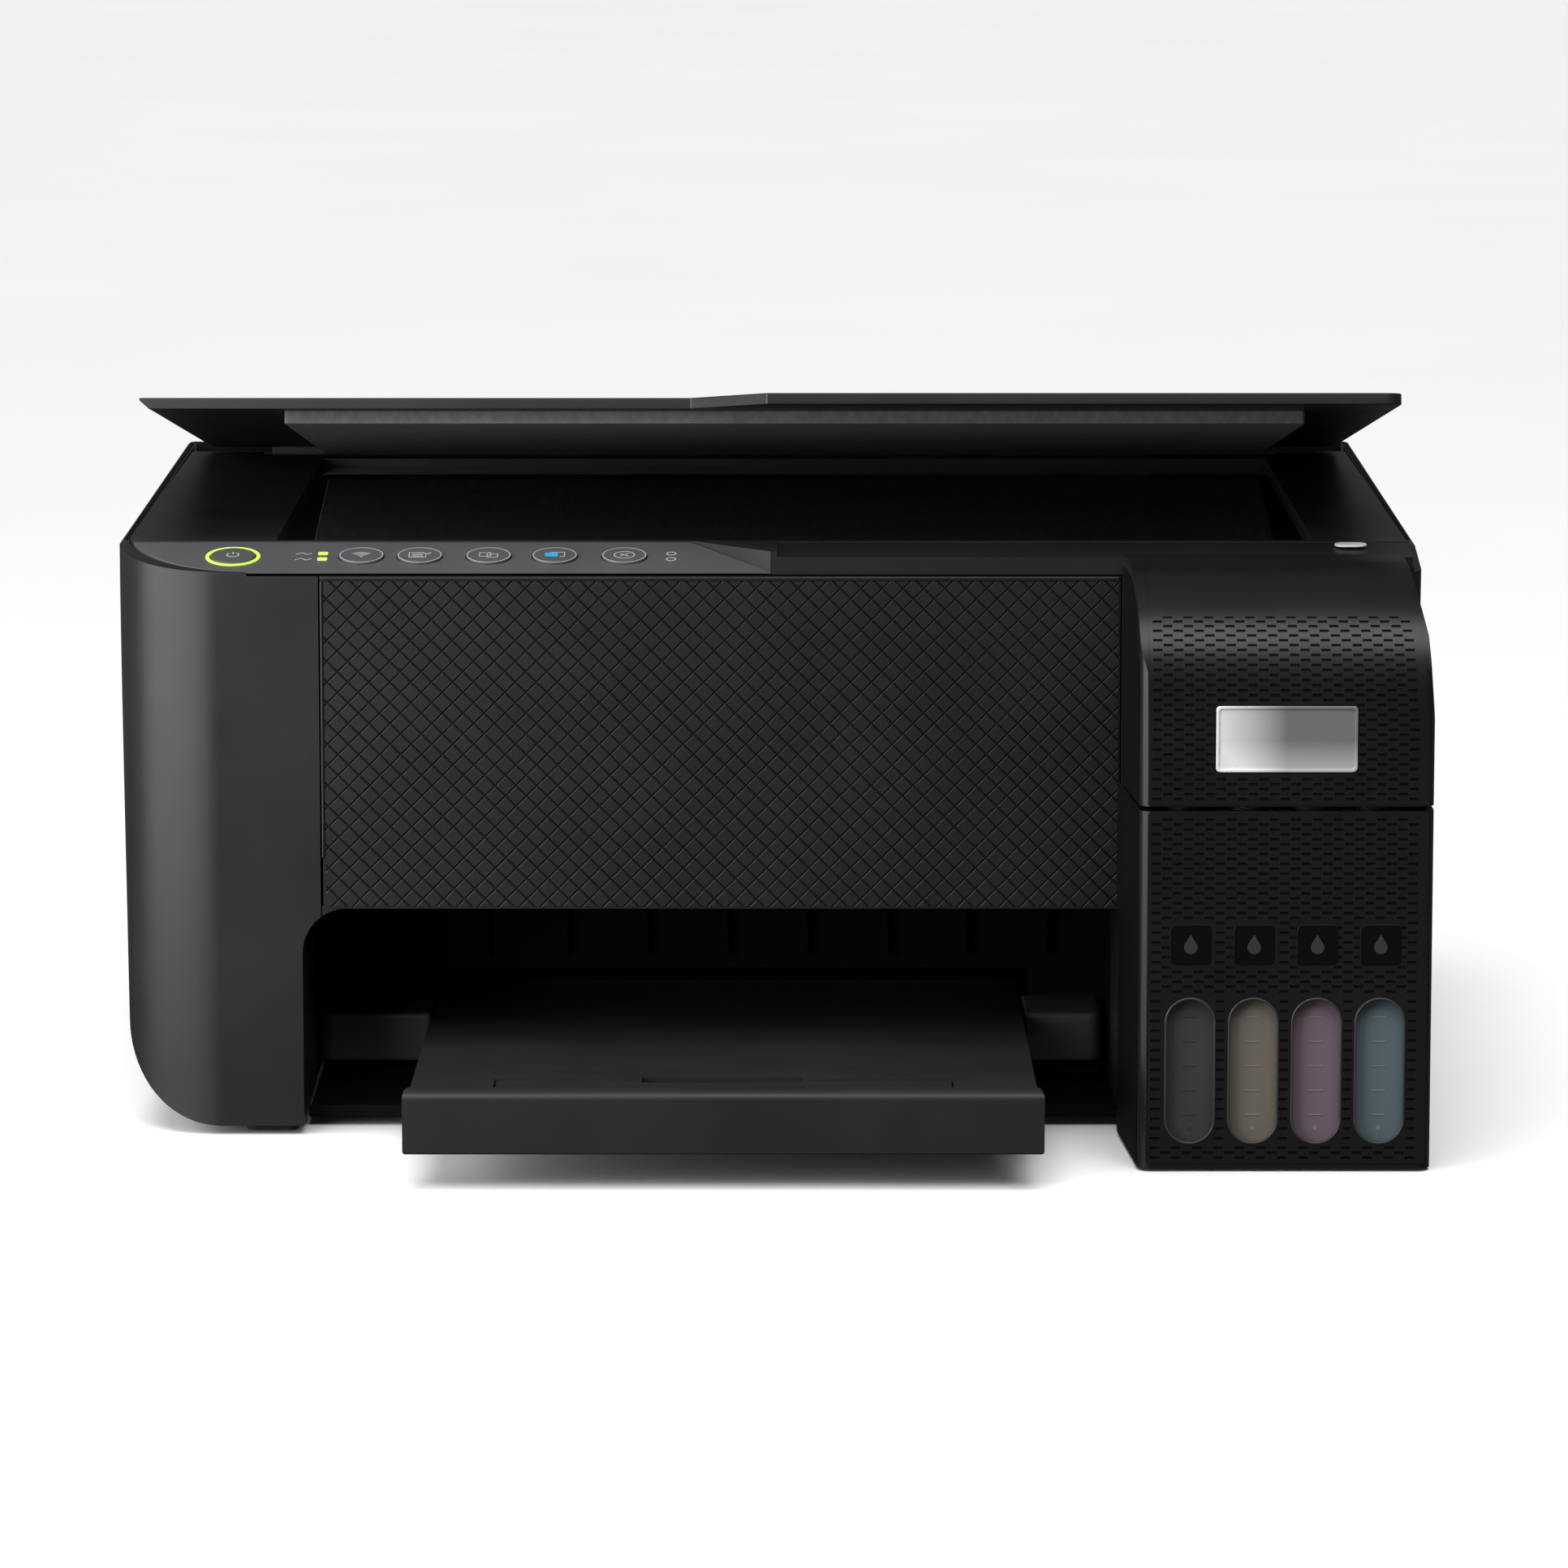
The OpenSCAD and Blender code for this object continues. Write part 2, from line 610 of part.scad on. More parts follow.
module document_cover() placed() color("#161618") ajar() {
    difference() {
        upright(lid_z0, lid_z0 + cover_t) cover_plan(0);
        front_to_back(-1, body_d) polygon([[-lid_half - 0.1, lid_z0 - 0.1], [-lid_half + 3.1, lid_z0 - 0.1],
            [-lid_half - 0.1, lid_z0 + cover_t - 0.6]]);
    }
    for (s = [-1, 1]) difference() {
        union() {
            bar_x(s * 150 - 9, s * 150 + 9, lid_y, lid_z, 3);
            box([s * 150 - 9, lid_y - 3, lid_z], [s * 150 + 9, lid_y + 3, lid_z0 + 0.5]);
        }
        bar_x(s * 150 - 14, s * 150 + 14, lid_y, lid_z, 1.55);
    }
}

module cover_mat() placed() color("#3c3d40") ajar()
    upright(bed_top - plate_t + 0.5, lid_z0 - 0.02) corner_rect(glass_x0 + 2, glass_y0 + 7.5, glass_x1 - 2,
        glass_y1 - 2, [1, 1, 1, 1]);

// ---------- output tray ----------

module output_tray() placed() color("#2a2a2c") difference() {
    union() {
        intersection() {
            front_to_back(-tray_out, -tray_out + 6) corner_rect(tray_x0, tray_z0, tray_x1,
                tray_z0 + tray_lip_h, [1, 1, 2, 2]);
            left_to_right(tray_x0, tray_x1) corner_rect(-tray_out, tray_z0, -tray_out + 6,
                tray_z0 + tray_lip_h, [0.6, 0, 0, 2.6]);
        }
        left_to_right(tray_x0 + 2, tray_x1 - 2) polygon([[-tray_out + 3, 17], [-tray_out + 3, 28],
            [tray_y1, 22], [tray_y1, 17]]);
    }
    box([tray_x0 + 6, -tray_out + 9, 10], [tray_x1 - 6, tray_y1 - 4, 19.4]);
    stopper_pocket();
}

stopper_x = [-76, 52];
stopper_y = [-70, -58];
stopper_z = 26.2;

module stopper_pocket() {
    box([stopper_x[0] - 0.4, stopper_y[0] - 1.6, stopper_z - 2.6], [stopper_x[1] + 0.4, stopper_y[1] + 0.5, 40]);
    box([-35, stopper_y[1] - 3, stopper_z - 5.2], [10, stopper_y[1] + 4, 40]);
}

module paper_stopper() placed() color("#2e2e30") difference() {
    union() {
        box([stopper_x[0], stopper_y[0], stopper_z - 1.2], [stopper_x[1], stopper_y[1], stopper_z + 1]);
        bar_x(stopper_x[0], stopper_x[1], stopper_y[0], stopper_z - 0.1, 1.1);
    }
    box([-35, stopper_y[1] - 2.5, stopper_z - 3], [10, stopper_y[1] + 1, 40]);
}

// ---------- paper path and drive ----------

module main_frame() placed() color("#9a9ca0") {
    difference() {
        union() {
            box([-168, 170, 76], [160, 171.5, 119.5]);
            box([-168, 160, 118], [160, 171.5, 119.5]);
            box([-168, 92, 48], [-166.5, 206, 112]);
            box([158.5, 92, 48], [160, 190, 112]);
        }
        bar_y(165, 175, drive_x, belt_z, 3);
        for (x = [-169, 158]) {
            bar_x(x, x + 3, feed_y, feed_z, 4.06);
            bar_x(x, x + 3, eject_y, eject_z, 3.06);
        }
        bar_x(-169, -165, pinion_y, pinion_z, 3);
    }
    bar_y(160.6, 171, idler_x, belt_z, 2);
}

module platen() placed() color("#1e1e20") {
    difference() {
        box([-124, 112, 54], [97, 164, 64]);
        box([-121, 115, 53], [94, 161, 61.6]);
        for (i = [0 : 11]) box([-112 + 17.5 * i, 128, 60], [-102 + 17.5 * i, 146, 66]);
    }
    for (i = [0 : 12]) box([-116.5 + 17.5 * i, 114, 63.8], [-114.5 + 17.5 * i, 162, 65.4]);
    box([-166.4, 136, 54], [-123.9, 140, 60]);
    box([96.9, 136, 54], [108, 140, 60]);
}

module power_supply() placed() color("#2c2c30") difference() {
    box([-181, 34, 34], [-141, 90, 108]);
    for (i = [0 : 7]) box([-176 + 4 * i, 44, 106], [-174 + 4 * i, 80, 109]);
}

module main_board() placed() color("#1d5a38") {
    difference() {
        box([178, 120, 24], [179.6, 268, 112]);
        for (y = [126, 262], z = [30, 106]) bar_x(177, 181, y, z, 1.6);
    }
    box([175, 160, 60], [178.2, 184, 84]);
    box([175.6, 200, 40], [178.2, 214, 62]);
    box([172, 230, 92], [178.2, 256, 100]);
}

module ac_inlet() placed() color("#101010") difference() {
    box([-173, 262, 30], [-149, body_d - 0.2, 44]);
    front_to_back(272, body_d + 1) corner_rect(-170, 32.5, -152, 41.5, [4.4, 4.4, 4.4, 4.4]);
}

module usb_port() placed() color("#b4b6ba") difference() {
    box([150, 274, 40], [162, body_d - 0.2, 50.5]);
    box([151, 276, 41], [161, body_d + 1, 49.5]);
}

module carriage_motor() placed() color("#7c7e82") difference() {
    bar_y(171.7, 200, drive_x, belt_z, 12.5);
    bar_y(171, 174, drive_x, belt_z, 2.4);
}

module feed_motor() placed() color("#7c7e82") difference() {
    bar_x(-166.3, -138, pinion_y, pinion_z, 13);
    bar_x(-167, -164, pinion_y, pinion_z, 2.4);
}

module cap_station() placed() color("#d0d0cc") difference() {
    box([110, 106, 38], [157, 164, 64]);
    box([114, 112, 56], [153, 158, 65]);
}

module carriage_belt() placed() color("#111111") front_to_back(161.5, 167) difference() {
    belt_outline(belt_r + 1.2);
    belt_outline(belt_r);
}

module belt_outline(r) {
    translate([idler_x, belt_z - r]) square([drive_x - idler_x, 2 * r]);
    for (x = [idler_x, drive_x]) translate([x, belt_z]) circle(r);
}

module drive_pulley() placed() color("#8a8c90") {
    bar_y(161.5, 167.5, drive_x, belt_z, belt_r - 0.3);
    bar_y(167, 173.6, drive_x, belt_z, 1.5);
}

module idler_pulley() placed() color("#d8d8d4") difference() {
    bar_y(161.5, 167.5, idler_x, belt_z, belt_r - 0.3);
    bar_y(161, 168, idler_x, belt_z, 2.05);
}

module carriage() placed() color("#26262a") difference() {
    union() {
        box([74, 112, 76], [156, 158, 114]);
        box([80, 148, 113], [150, 156, 122.4]);
        box([80, 148, 120.2], [150, 166, 122.4]);
        box([104, 157, 85], [124, 160.8, 89]);
    }
    for (i = [0 : 3]) box([78 + 19 * i, 116, 86], [94 + 19 * i, 146, 115]);
}

module print_head() placed() color("#3a3c40") {
    box([82, 116, 70], [148, 152, 75.9]);
    box([90, 122, 67.2], [140, 146, 70.2]);
}

module feed_roller() placed() color("#404246") {
    bar_x(-178, 161, feed_y, feed_z, 4);
    bar_x(-160, 150, feed_y, feed_z, feed_r);
}

// Outline of a spur gear with straight-sided teeth
module gear_outline(teeth, turn) rotate(turn) {
    r = gear_module * teeth / 2;
    step = 360 / teeth;
    polygon([for (i = [0 : teeth - 1], k = [0 : 3])
        let (a = step * (i + [-0.3, -0.12, 0.12, 0.3][k]),
            q = k == 0 || k == 3 ? r - 1.15 * gear_module : r + 0.8 * gear_module)
        [q * cos(a), q * sin(a)]]);
}

module feed_gear() placed() color("#d4d4cf") difference() {
    translate([-175, feed_y, feed_z]) rotate([90, 0, 90]) linear_extrude(5) gear_outline(gear_teeth, mesh_angle);
    bar_x(-176, -169, feed_y, feed_z, 4);
}

module motor_pinion() placed() color("#c8b060") {
    translate([-175, pinion_y, pinion_z]) rotate([90, 0, 90]) linear_extrude(5)
        gear_outline(pinion_teeth, mesh_angle + 180 + 180 / pinion_teeth);
    bar_x(-170.5, -164.2, pinion_y, pinion_z, 1.5);
}

module eject_roller() placed() color("#404246") {
    bar_x(-170, 163, eject_y, eject_z, 3);
    for (i = [0 : 7]) bar_x(-100 + 26 * i, -92 + 26 * i, eject_y, eject_z, eject_r);
}

module pickup_roller() placed() color("#505256") {
    bar_x(-60, 60, pickup_y, pickup_z, 3);
    bar_x(-16, 16, pickup_y, pickup_z, pickup_r);
}

module rear_feeder() placed() color("#1b1b1d") {
    leaning() {
        difference() {
            box([-118, 0, -104], [118, 2, 0]);
            box([-30, -1, -96], [30, 3, -72]);
        }
        box([-118, -14, -74], [118, -12, -16]);
    }
    // side plates, whose front top corners stay clear of the opened document cover
    difference() {
        leaning() for (s = [-1, 1]) box([min(s * 117.8, s * 120), -14.5, -104.5],
            [max(s * 117.8, s * 120), 7, 0.5]);
        box([-121, lid_y, cover_top], [121, 274.4, 180]);
    }
    // bearing arms of the pickup roller, hung from the feeder's front plate
    for (x = [-46, 40]) difference() {
        union() {
            bar_x(x, x + 6, pickup_y, pickup_z, 6);
            leaning() box([x, -17, -86.5], [x + 6, -13, -70]);
        }
        bar_x(x - 1, x + 7, pickup_y, pickup_z, 3.06);
    }
}

module paper_support() placed() color("#1e1e20") leaning() difference() {
    box([-105, 3, -76], [105, 5.2, 3]);
    box([-20, 2, -8], [20, 6, -3]);
}

module edge_guide(s) placed() color("#28282a") leaning() {
    box([min(s * 107, s * 109), -11.4, -60], [max(s * 107, s * 109), -0.4, -6]);
    box([min(s * 90, s * 109), -1.6, -60], [max(s * 90, s * 109), -0.4, -40]);
}

module edge_guide_left() edge_guide(-1);
module edge_guide_right() edge_guide(1);

base_tray();
rubber_feet();
left_side_cover();
right_side_cover();
rear_cover();
front_panel();
exit_frame();
tank_housing();
ink_tank_black();
ink_tank_yellow();
ink_tank_magenta();
ink_tank_cyan();
ink_tubes();
main_frame();
platen();
power_supply();
main_board();
ac_inlet();
usb_port();
carriage_motor();
feed_motor();
cap_station();
screws();
carriage_belt();
rear_feeder();
scan_bed();
scan_pan();
scanner_glass();
control_panel();
scan_head();
document_cover();
cover_mat();
power_button();
wifi_button();
status_button();
mono_copy_button();
colour_copy_button();
stop_button();
output_tray();
paper_stopper();
ink_tank_cover();
badge_plate();
tank_cap_black();
tank_cap_yellow();
tank_cap_magenta();
tank_cap_cyan();
carriage();
print_head();
drive_pulley();
idler_pulley();
feed_roller();
feed_gear();
eject_roller();
motor_pinion();
pickup_roller();
paper_support();
edge_guide_left();
edge_guide_right();
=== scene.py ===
"""Looks of the inkjet printer: moulded covers, ink windows, control panel, lights and camera."""

import json
import math

import bmesh
import bpy
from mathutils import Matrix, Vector


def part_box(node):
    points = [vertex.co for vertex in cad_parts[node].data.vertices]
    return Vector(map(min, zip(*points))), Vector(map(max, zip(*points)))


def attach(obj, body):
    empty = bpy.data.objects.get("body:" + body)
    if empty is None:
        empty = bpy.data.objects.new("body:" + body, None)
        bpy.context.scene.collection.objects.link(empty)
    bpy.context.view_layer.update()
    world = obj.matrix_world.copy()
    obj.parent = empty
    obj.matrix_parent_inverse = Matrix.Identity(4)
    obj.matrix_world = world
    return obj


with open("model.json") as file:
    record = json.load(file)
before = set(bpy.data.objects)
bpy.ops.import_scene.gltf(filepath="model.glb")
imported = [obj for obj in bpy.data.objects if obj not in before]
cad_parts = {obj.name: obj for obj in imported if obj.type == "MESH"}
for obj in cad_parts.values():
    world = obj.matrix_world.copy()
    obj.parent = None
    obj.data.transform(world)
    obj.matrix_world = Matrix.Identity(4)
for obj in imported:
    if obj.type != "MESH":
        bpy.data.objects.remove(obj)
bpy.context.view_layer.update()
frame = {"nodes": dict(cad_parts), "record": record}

MM = 0.001
FRONT_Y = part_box("front_panel")[0].y  # the front plane that every depth below is counted from


def at(x, y, z):
    """A point in millimetres: x from the middle, y behind the front plane, z above the table."""
    return Vector((x * MM, FRONT_Y + y * MM, z * MM))


def span(node):
    """The box of a CAD node in the same millimetres: (x0, y0, z0), (x1, y1, z1)."""
    return [(p.x / MM, (p.y - FRONT_Y) / MM, p.z / MM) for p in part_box(node)]


# ---------------------------------------------------------------- materials


class Shader:
    """A material with one Principled node and helpers that add procedural nodes to it."""

    def __init__(self, name, color, rough, metal=0.0, spec=0.5):
        self.material = bpy.data.materials.new(name)
        self.material.use_nodes = True
        self.tree = self.material.node_tree
        self.main = self.tree.nodes["Principled BSDF"]
        self.color = tuple(color) + (1.0,)
        self.main.inputs["Base Color"].default_value = self.color
        self.main.inputs["Roughness"].default_value = rough
        self.main.inputs["Metallic"].default_value = metal
        self.main.inputs["Specular IOR Level"].default_value = spec
        self.coords = self.node("ShaderNodeTexCoord")
        self.height = None

    def node(self, kind, **settings):
        made = self.tree.nodes.new(kind)
        for key, value in settings.items():
            setattr(made, key, value)
        return made

    def link(self, source, target):
        self.tree.links.new(source, target)

    def noise(self, scale, detail=4.0, rough=0.55, stretch=(1, 1, 1)):
        """A noise value in object space; scale is in features a metre."""
        mapping = self.node("ShaderNodeMapping")
        mapping.inputs["Scale"].default_value = stretch
        self.link(self.coords.outputs["Object"], mapping.inputs["Vector"])
        made = self.node("ShaderNodeTexNoise")
        made.inputs["Scale"].default_value = scale
        made.inputs["Detail"].default_value = detail
        made.inputs["Roughness"].default_value = rough
        self.link(mapping.outputs["Vector"], made.inputs["Vector"])
        return made.outputs["Fac"]

    def ramp(self, value, low, high, a=0.0, b=1.0):
        made = self.node("ShaderNodeMapRange")
        for key, number in (("From Min", low), ("From Max", high), ("To Min", a), ("To Max", b)):
            made.inputs[key].default_value = number
        self.link(value, made.inputs["Value"])
        return made.outputs["Result"]

    def vary_color(self, value, darker, lighter):
        """Colour from darker to lighter times the base colour, by a value from 0 to 1."""
        mix = self.node("ShaderNodeMix", data_type="RGBA")
        mix.inputs[6].default_value = tuple(c * darker for c in self.color[:3]) + (1,)
        mix.inputs[7].default_value = tuple(c * lighter for c in self.color[:3]) + (1,)
        self.link(value, mix.inputs[0])
        self.link(mix.outputs[2], self.main.inputs["Base Color"])
        return self

    def vary_rough(self, value, low, high):
        self.link(self.ramp(value, 0.3, 0.7, low, high), self.main.inputs["Roughness"])
        return self

    def bump(self, value, strength, depth_mm):
        made = self.node("ShaderNodeBump")
        made.inputs["Strength"].default_value = strength
        made.inputs["Distance"].default_value = depth_mm * MM
        self.link(value, made.inputs["Height"])
        if self.height:
            self.link(self.height, made.inputs["Normal"])
        self.height = made.outputs["Normal"]
        self.link(self.height, self.main.inputs["Normal"])
        return self


def moulded(name, color, rough, grain=1.0, grain_scale=1500, spec=0.5):
    """Injection moulded plastic: spark-eroded grain, faint cloudiness in gloss and colour."""
    made = Shader(name, color, rough, spec=spec)
    grain_value = made.noise(grain_scale, 6.0, 0.6)
    cloud = made.noise(30, 3.0)
    made.vary_color(made.ramp(cloud, 0.3, 0.7), 0.93, 1.07)
    made.vary_rough(cloud, rough - 0.03, rough + 0.04)
    made.bump(grain_value, 0.25 * grain, 0.05)
    return made.material


def relief(name, color, rough, face, bottom, axis="Y"):
    """Moulded plastic with painted shade: darker and less glossy from a face to its grooves' bottom, two
    places along an axis.
    """
    made = Shader(name, color, rough)
    split = made.node("ShaderNodeSeparateXYZ")
    made.link(made.coords.outputs["Object"], split.inputs["Vector"])
    # painted shade: the colour darkens and the specular level drops with depth into the grooves
    depth = made.ramp(split.outputs[axis], face, bottom, 1.0, 0.0)
    made.vary_color(depth, 0.55, 1.0)
    groove_spec_shade = made.ramp(split.outputs[axis], face, bottom, 0.5, 0.3)
    made.link(groove_spec_shade, made.main.inputs["Specular IOR Level"])
    made.vary_rough(made.noise(30, 3.0), rough - 0.03, rough + 0.04)
    made.bump(made.noise(1500, 6.0, 0.6), 0.25, 0.05)
    return made.material


def rubber(name, color, rough=0.75):
    made = Shader(name, color, rough)
    dust = made.noise(400, 5.0)
    made.vary_color(made.ramp(dust, 0.35, 0.75), 0.85, 1.25)
    made.vary_rough(made.noise(60), rough - 0.08, rough + 0.08)
    made.bump(made.noise(2200, 4.0), 0.3, 0.04)
    return made.material


def metal(name, color, rough, brush=(1, 60, 60)):
    """Drawn or brushed metal: streaks along the axis where brush is smallest."""
    made = Shader(name, color, rough, metal=1.0)
    streak = made.noise(60, 5.0, 0.6, brush)
    made.vary_color(made.ramp(streak, 0.3, 0.7), 0.88, 1.08)
    made.vary_rough(streak, rough - 0.07, rough + 0.09)
    made.bump(streak, 0.12, 0.03)
    return made.material


MATERIALS = {
    "body_black": moulded("body_black", (0.012, 0.012, 0.0122), 0.4),
    "panel_black": moulded("panel_black", (0.009, 0.009, 0.0092), 0.42),
    "tank_black": moulded("tank_black", (0.006, 0.006, 0.0062), 0.34),
    # inside parts: near-black with little gloss, darker than the covers as painted shade in the bay and the
    # body's hollows
    "inner_black": moulded("inner_black", (0.002, 0.002, 0.0021), 0.7, spec=0.12),
    "control_grey": moulded("control_grey", (0.06, 0.062, 0.065), 0.42, 0.6),
    "button_grey": moulded("button_grey", (0.062, 0.064, 0.067), 0.42, 0.5),
    "power_button": moulded("power_button", (0.06, 0.066, 0.06), 0.42, 0.5),
    "mat_grey": rubber("mat_grey", (0.13, 0.13, 0.133), 0.8),
    "tray_black": moulded("tray_black", (0.014, 0.014, 0.0142), 0.45),
    "psu_case": moulded("psu_case", (0.03, 0.03, 0.032), 0.6),
    "acetal_white": moulded("acetal_white", (0.72, 0.71, 0.67), 0.4, 0.4),
    "cap_black": rubber("cap_black", (0.035, 0.035, 0.038), 0.6),
    "cap_yellow": rubber("cap_yellow", (0.62, 0.48, 0.04), 0.6),
    "cap_magenta": rubber("cap_magenta", (0.46, 0.03, 0.22), 0.6),
    "cap_cyan": rubber("cap_cyan", (0.02, 0.26, 0.50), 0.6),
    "rubber_black": rubber("rubber_black", (0.02, 0.02, 0.02)),
    "tube_dark": rubber("tube_dark", (0.04, 0.04, 0.042), 0.45),
    "roller_coat": rubber("roller_coat", (0.06, 0.06, 0.063), 0.7),
    "steel_frame": metal("steel_frame", (0.46, 0.47, 0.48), 0.38),
    "steel_screw": metal("steel_screw", (0.2, 0.2, 0.2), 0.4, (30, 1, 30)),
    "motor_can": metal("motor_can", (0.42, 0.43, 0.45), 0.35, (40, 1, 40)),
    "head_metal": metal("head_metal", (0.26, 0.27, 0.29), 0.35),
    "usb_metal": metal("usb_metal", (0.6, 0.6, 0.62), 0.22, (40, 1, 40)),
    "brass_gear": metal("brass_gear", (0.62, 0.42, 0.16), 0.35, (1, 30, 30)),
    "board_green": moulded("board_green", (0.02, 0.14, 0.06), 0.35, 0.3),
}


def glass_material():
    """Scanner glass: dark, flat and clean, with faint wipe marks in its gloss."""
    made = Shader("glass_dark", (0.015, 0.015, 0.016), 0.03)
    made.main.inputs["Coat Weight"].default_value = 1.0
    made.main.inputs["Coat Roughness"].default_value = 0.02
    wipe = made.noise(18, 3.0, 0.5, (1, 5, 1))
    made.vary_color(made.ramp(wipe, 0.3, 0.7), 0.9, 1.1)
    made.vary_rough(wipe, 0.02, 0.05)
    return made.material


def ink_material(name, color):
    """Translucent tank wall with ink behind it: darker towards the bottom, cloudy, satin."""
    made = Shader(name, color, 0.4)
    split = made.node("ShaderNodeSeparateXYZ")
    made.link(made.coords.outputs["Object"], split.inputs["Vector"])
    rise = made.ramp(split.outputs["Z"], 0.0, 0.06)
    made.vary_color(rise, 0.9, 1.08)
    made.vary_rough(made.noise(40), 0.34, 0.44)
    made.bump(made.noise(900, 4.0), 0.2, 0.04)
    made.main.inputs["Coat Weight"].default_value = 0.25
    made.main.inputs["Coat Roughness"].default_value = 0.25
    return made.material


def badge_material():
    """Satin silver foil with a painted reflection: pale at the left end and along the foot, darker to the
    right.
    """
    made = Shader("badge_silver", (0.5, 0.5, 0.505), 0.32)
    split = made.node("ShaderNodeSeparateXYZ")
    made.link(made.coords.outputs["Object"], split.inputs["Vector"])
    (left, _, foot), (right, _, _) = span("badge_plate")
    # painted reflection: the colour is lightened at the left end and along the foot and darkened to the right
    across = made.ramp(split.outputs["X"], left * MM, (left + right) / 2 * MM, 1.0, 0.0)
    painted_sheen_foot = made.ramp(split.outputs["Z"], foot * MM, (foot + 9) * MM, 0.45, 0.0)
    painted_sheen = made.node("ShaderNodeMath", operation="ADD", use_clamp=True)
    made.link(across, painted_sheen.inputs[0])
    made.link(painted_sheen_foot, painted_sheen.inputs[1])
    made.vary_color(painted_sheen.outputs["Value"], 0.36, 1.75)
    made.vary_rough(made.noise(60, 5.0, 0.6, (1, 40, 60)), 0.26, 0.4)
    made.bump(made.noise(900, 4.0), 0.1, 0.02)
    return made.material


def lamp_material(name, color, strength):
    made = Shader(name, color, 0.4)
    made.main.inputs["Emission Color"].default_value = tuple(color) + (1,)
    made.main.inputs["Emission Strength"].default_value = strength
    made.vary_rough(made.noise(300), 0.3, 0.5)
    return made.material


MATERIALS["glass_dark"] = glass_material()
MATERIALS["badge_silver"] = badge_material()
MATERIALS["ink_black"] = ink_material("ink_black", (0.050, 0.050, 0.052))
MATERIALS["ink_yellow"] = ink_material("ink_yellow", (0.180, 0.157, 0.128))
MATERIALS["ink_magenta"] = ink_material("ink_magenta", (0.190, 0.134, 0.168))
MATERIALS["ink_cyan"] = ink_material("ink_cyan", (0.116, 0.160, 0.182))
MATERIALS["lamp_green"] = lamp_material("lamp_green", (0.42, 0.80, 0.08), 0.55)
MATERIALS["print_grey"] = moulded("print_grey", (0.30, 0.31, 0.32), 0.45, 0.3)
MATERIALS["print_dim"] = moulded("print_dim", (0.04, 0.04, 0.041), 0.3, 0.3)
MATERIALS["mark_pale"] = moulded("mark_pale", (0.21, 0.20, 0.20), 0.4, 0.3)
# near-black, barely glossy plastic used as painted shade: dash bottoms, the tank's side wall and bands where
# shade falls
MATERIALS["dash_black"] = moulded("dash_black", (0.002, 0.002, 0.002), 0.6, 0.5, spec=0.12)
MATERIALS["tile_black"] = moulded("tile_black", (0.003, 0.003, 0.003), 0.3, 0.3, spec=0.2)

# ---------------------------------------------------------------- carried-over CAD nodes

EDGE_MM = {  # the rounding of each CAD node's edges, where it isn't the usual one
    "document_cover": 0.7, "output_tray": 0.6, "front_panel": 0.6, "control_panel": 0.35, "scan_bed": 0.5,
    "rear_cover": 0.5, "cover_mat": 0.3, "feed_gear": 0.1, "motor_pinion": 0.1, "ink_tubes": 0.0,
    "badge_plate": 0.25, "scanner_glass": 0.2, "usb_port": 0.15, "screws": 0.1,
}
USUAL_EDGE_MM = 0.35


def soften(node, width_mm):
    """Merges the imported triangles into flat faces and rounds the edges, all by modifiers."""
    ob = frame["nodes"][node]
    for face in ob.data.polygons:
        face.use_smooth = True
    ob.modifiers.new("weld", "WELD").merge_threshold = 0.00001
    flat = ob.modifiers.new("flat", "DECIMATE")
    flat.decimate_type = "DISSOLVE"
    flat.angle_limit = math.radians(0.6)
    if width_mm > 0:
        bevel = ob.modifiers.new("edges", "BEVEL")
        bevel.width = width_mm * MM
        bevel.segments = 2
        bevel.limit_method = "ANGLE"
        bevel.angle_limit = math.radians(32)
        bevel.harden_normals = False
    ob.modifiers.new("normals", "WEIGHTED_NORMAL").keep_sharp = True


def dress_cad_nodes():
    for part in frame["record"]["subparts"]:
        node = part["node"]
        ob = frame["nodes"][node]
        ob.data.materials.clear()
        ob.data.materials.append(MATERIALS[part["material_slot"]])
        soften(node, EDGE_MM.get(node, USUAL_EDGE_MM))


dress_cad_nodes()

# ---------------------------------------------------------------- mesh helpers


def turn_outwards(mesh, smooth):
    """Points every face of a closed mesh outwards and sets its shading."""
    shape = bmesh.new()
    shape.from_mesh(mesh)
    bmesh.ops.recalc_face_normals(shape, faces=shape.faces)
    for face in shape.faces:
        face.smooth = smooth
    shape.to_mesh(mesh)
    shape.free()


def add_object(name, mesh):
    made = bpy.data.objects.new(name, mesh)
    bpy.context.scene.collection.objects.link(made)
    return made


def mesh_of(name, points, faces):
    """A mesh from points in millimetres."""
    mesh = bpy.data.meshes.new(name)
    mesh.from_pydata([at(*p) for p in points], [], faces)
    return mesh


def finish_piece(name, mesh, body, slot, edge_mm=0.0):
    """Makes a piece that rides on a body, takes a slot's finish and has its edges rounded."""
    turn_outwards(mesh, edge_mm > 0)
    piece = add_object(name, mesh)
    mesh.materials.append(MATERIALS[slot])
    if edge_mm > 0:
        bevel = piece.modifiers.new("edges", "BEVEL")
        bevel.width = edge_mm * MM
        bevel.segments = 3
        bevel.limit_method = "ANGLE"
        bevel.angle_limit = math.radians(35)
        piece.modifiers.new("normals", "WEIGHTED_NORMAL").keep_sharp = True
    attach(piece, body)
    return piece


def add_piece(name, points, faces, body, slot, edge_mm=0.0):
    """Makes a finished piece from points in millimetres."""
    mesh = mesh_of(name, points, faces)
    mesh.validate()
    return finish_piece(name, mesh, body, slot, edge_mm)


def add_cutter(name, points, faces):
    """A closed shape for cut_out, which removes it again."""
    mesh = mesh_of(name, points, faces)
    turn_outwards(mesh, False)
    return add_object(name, mesh)


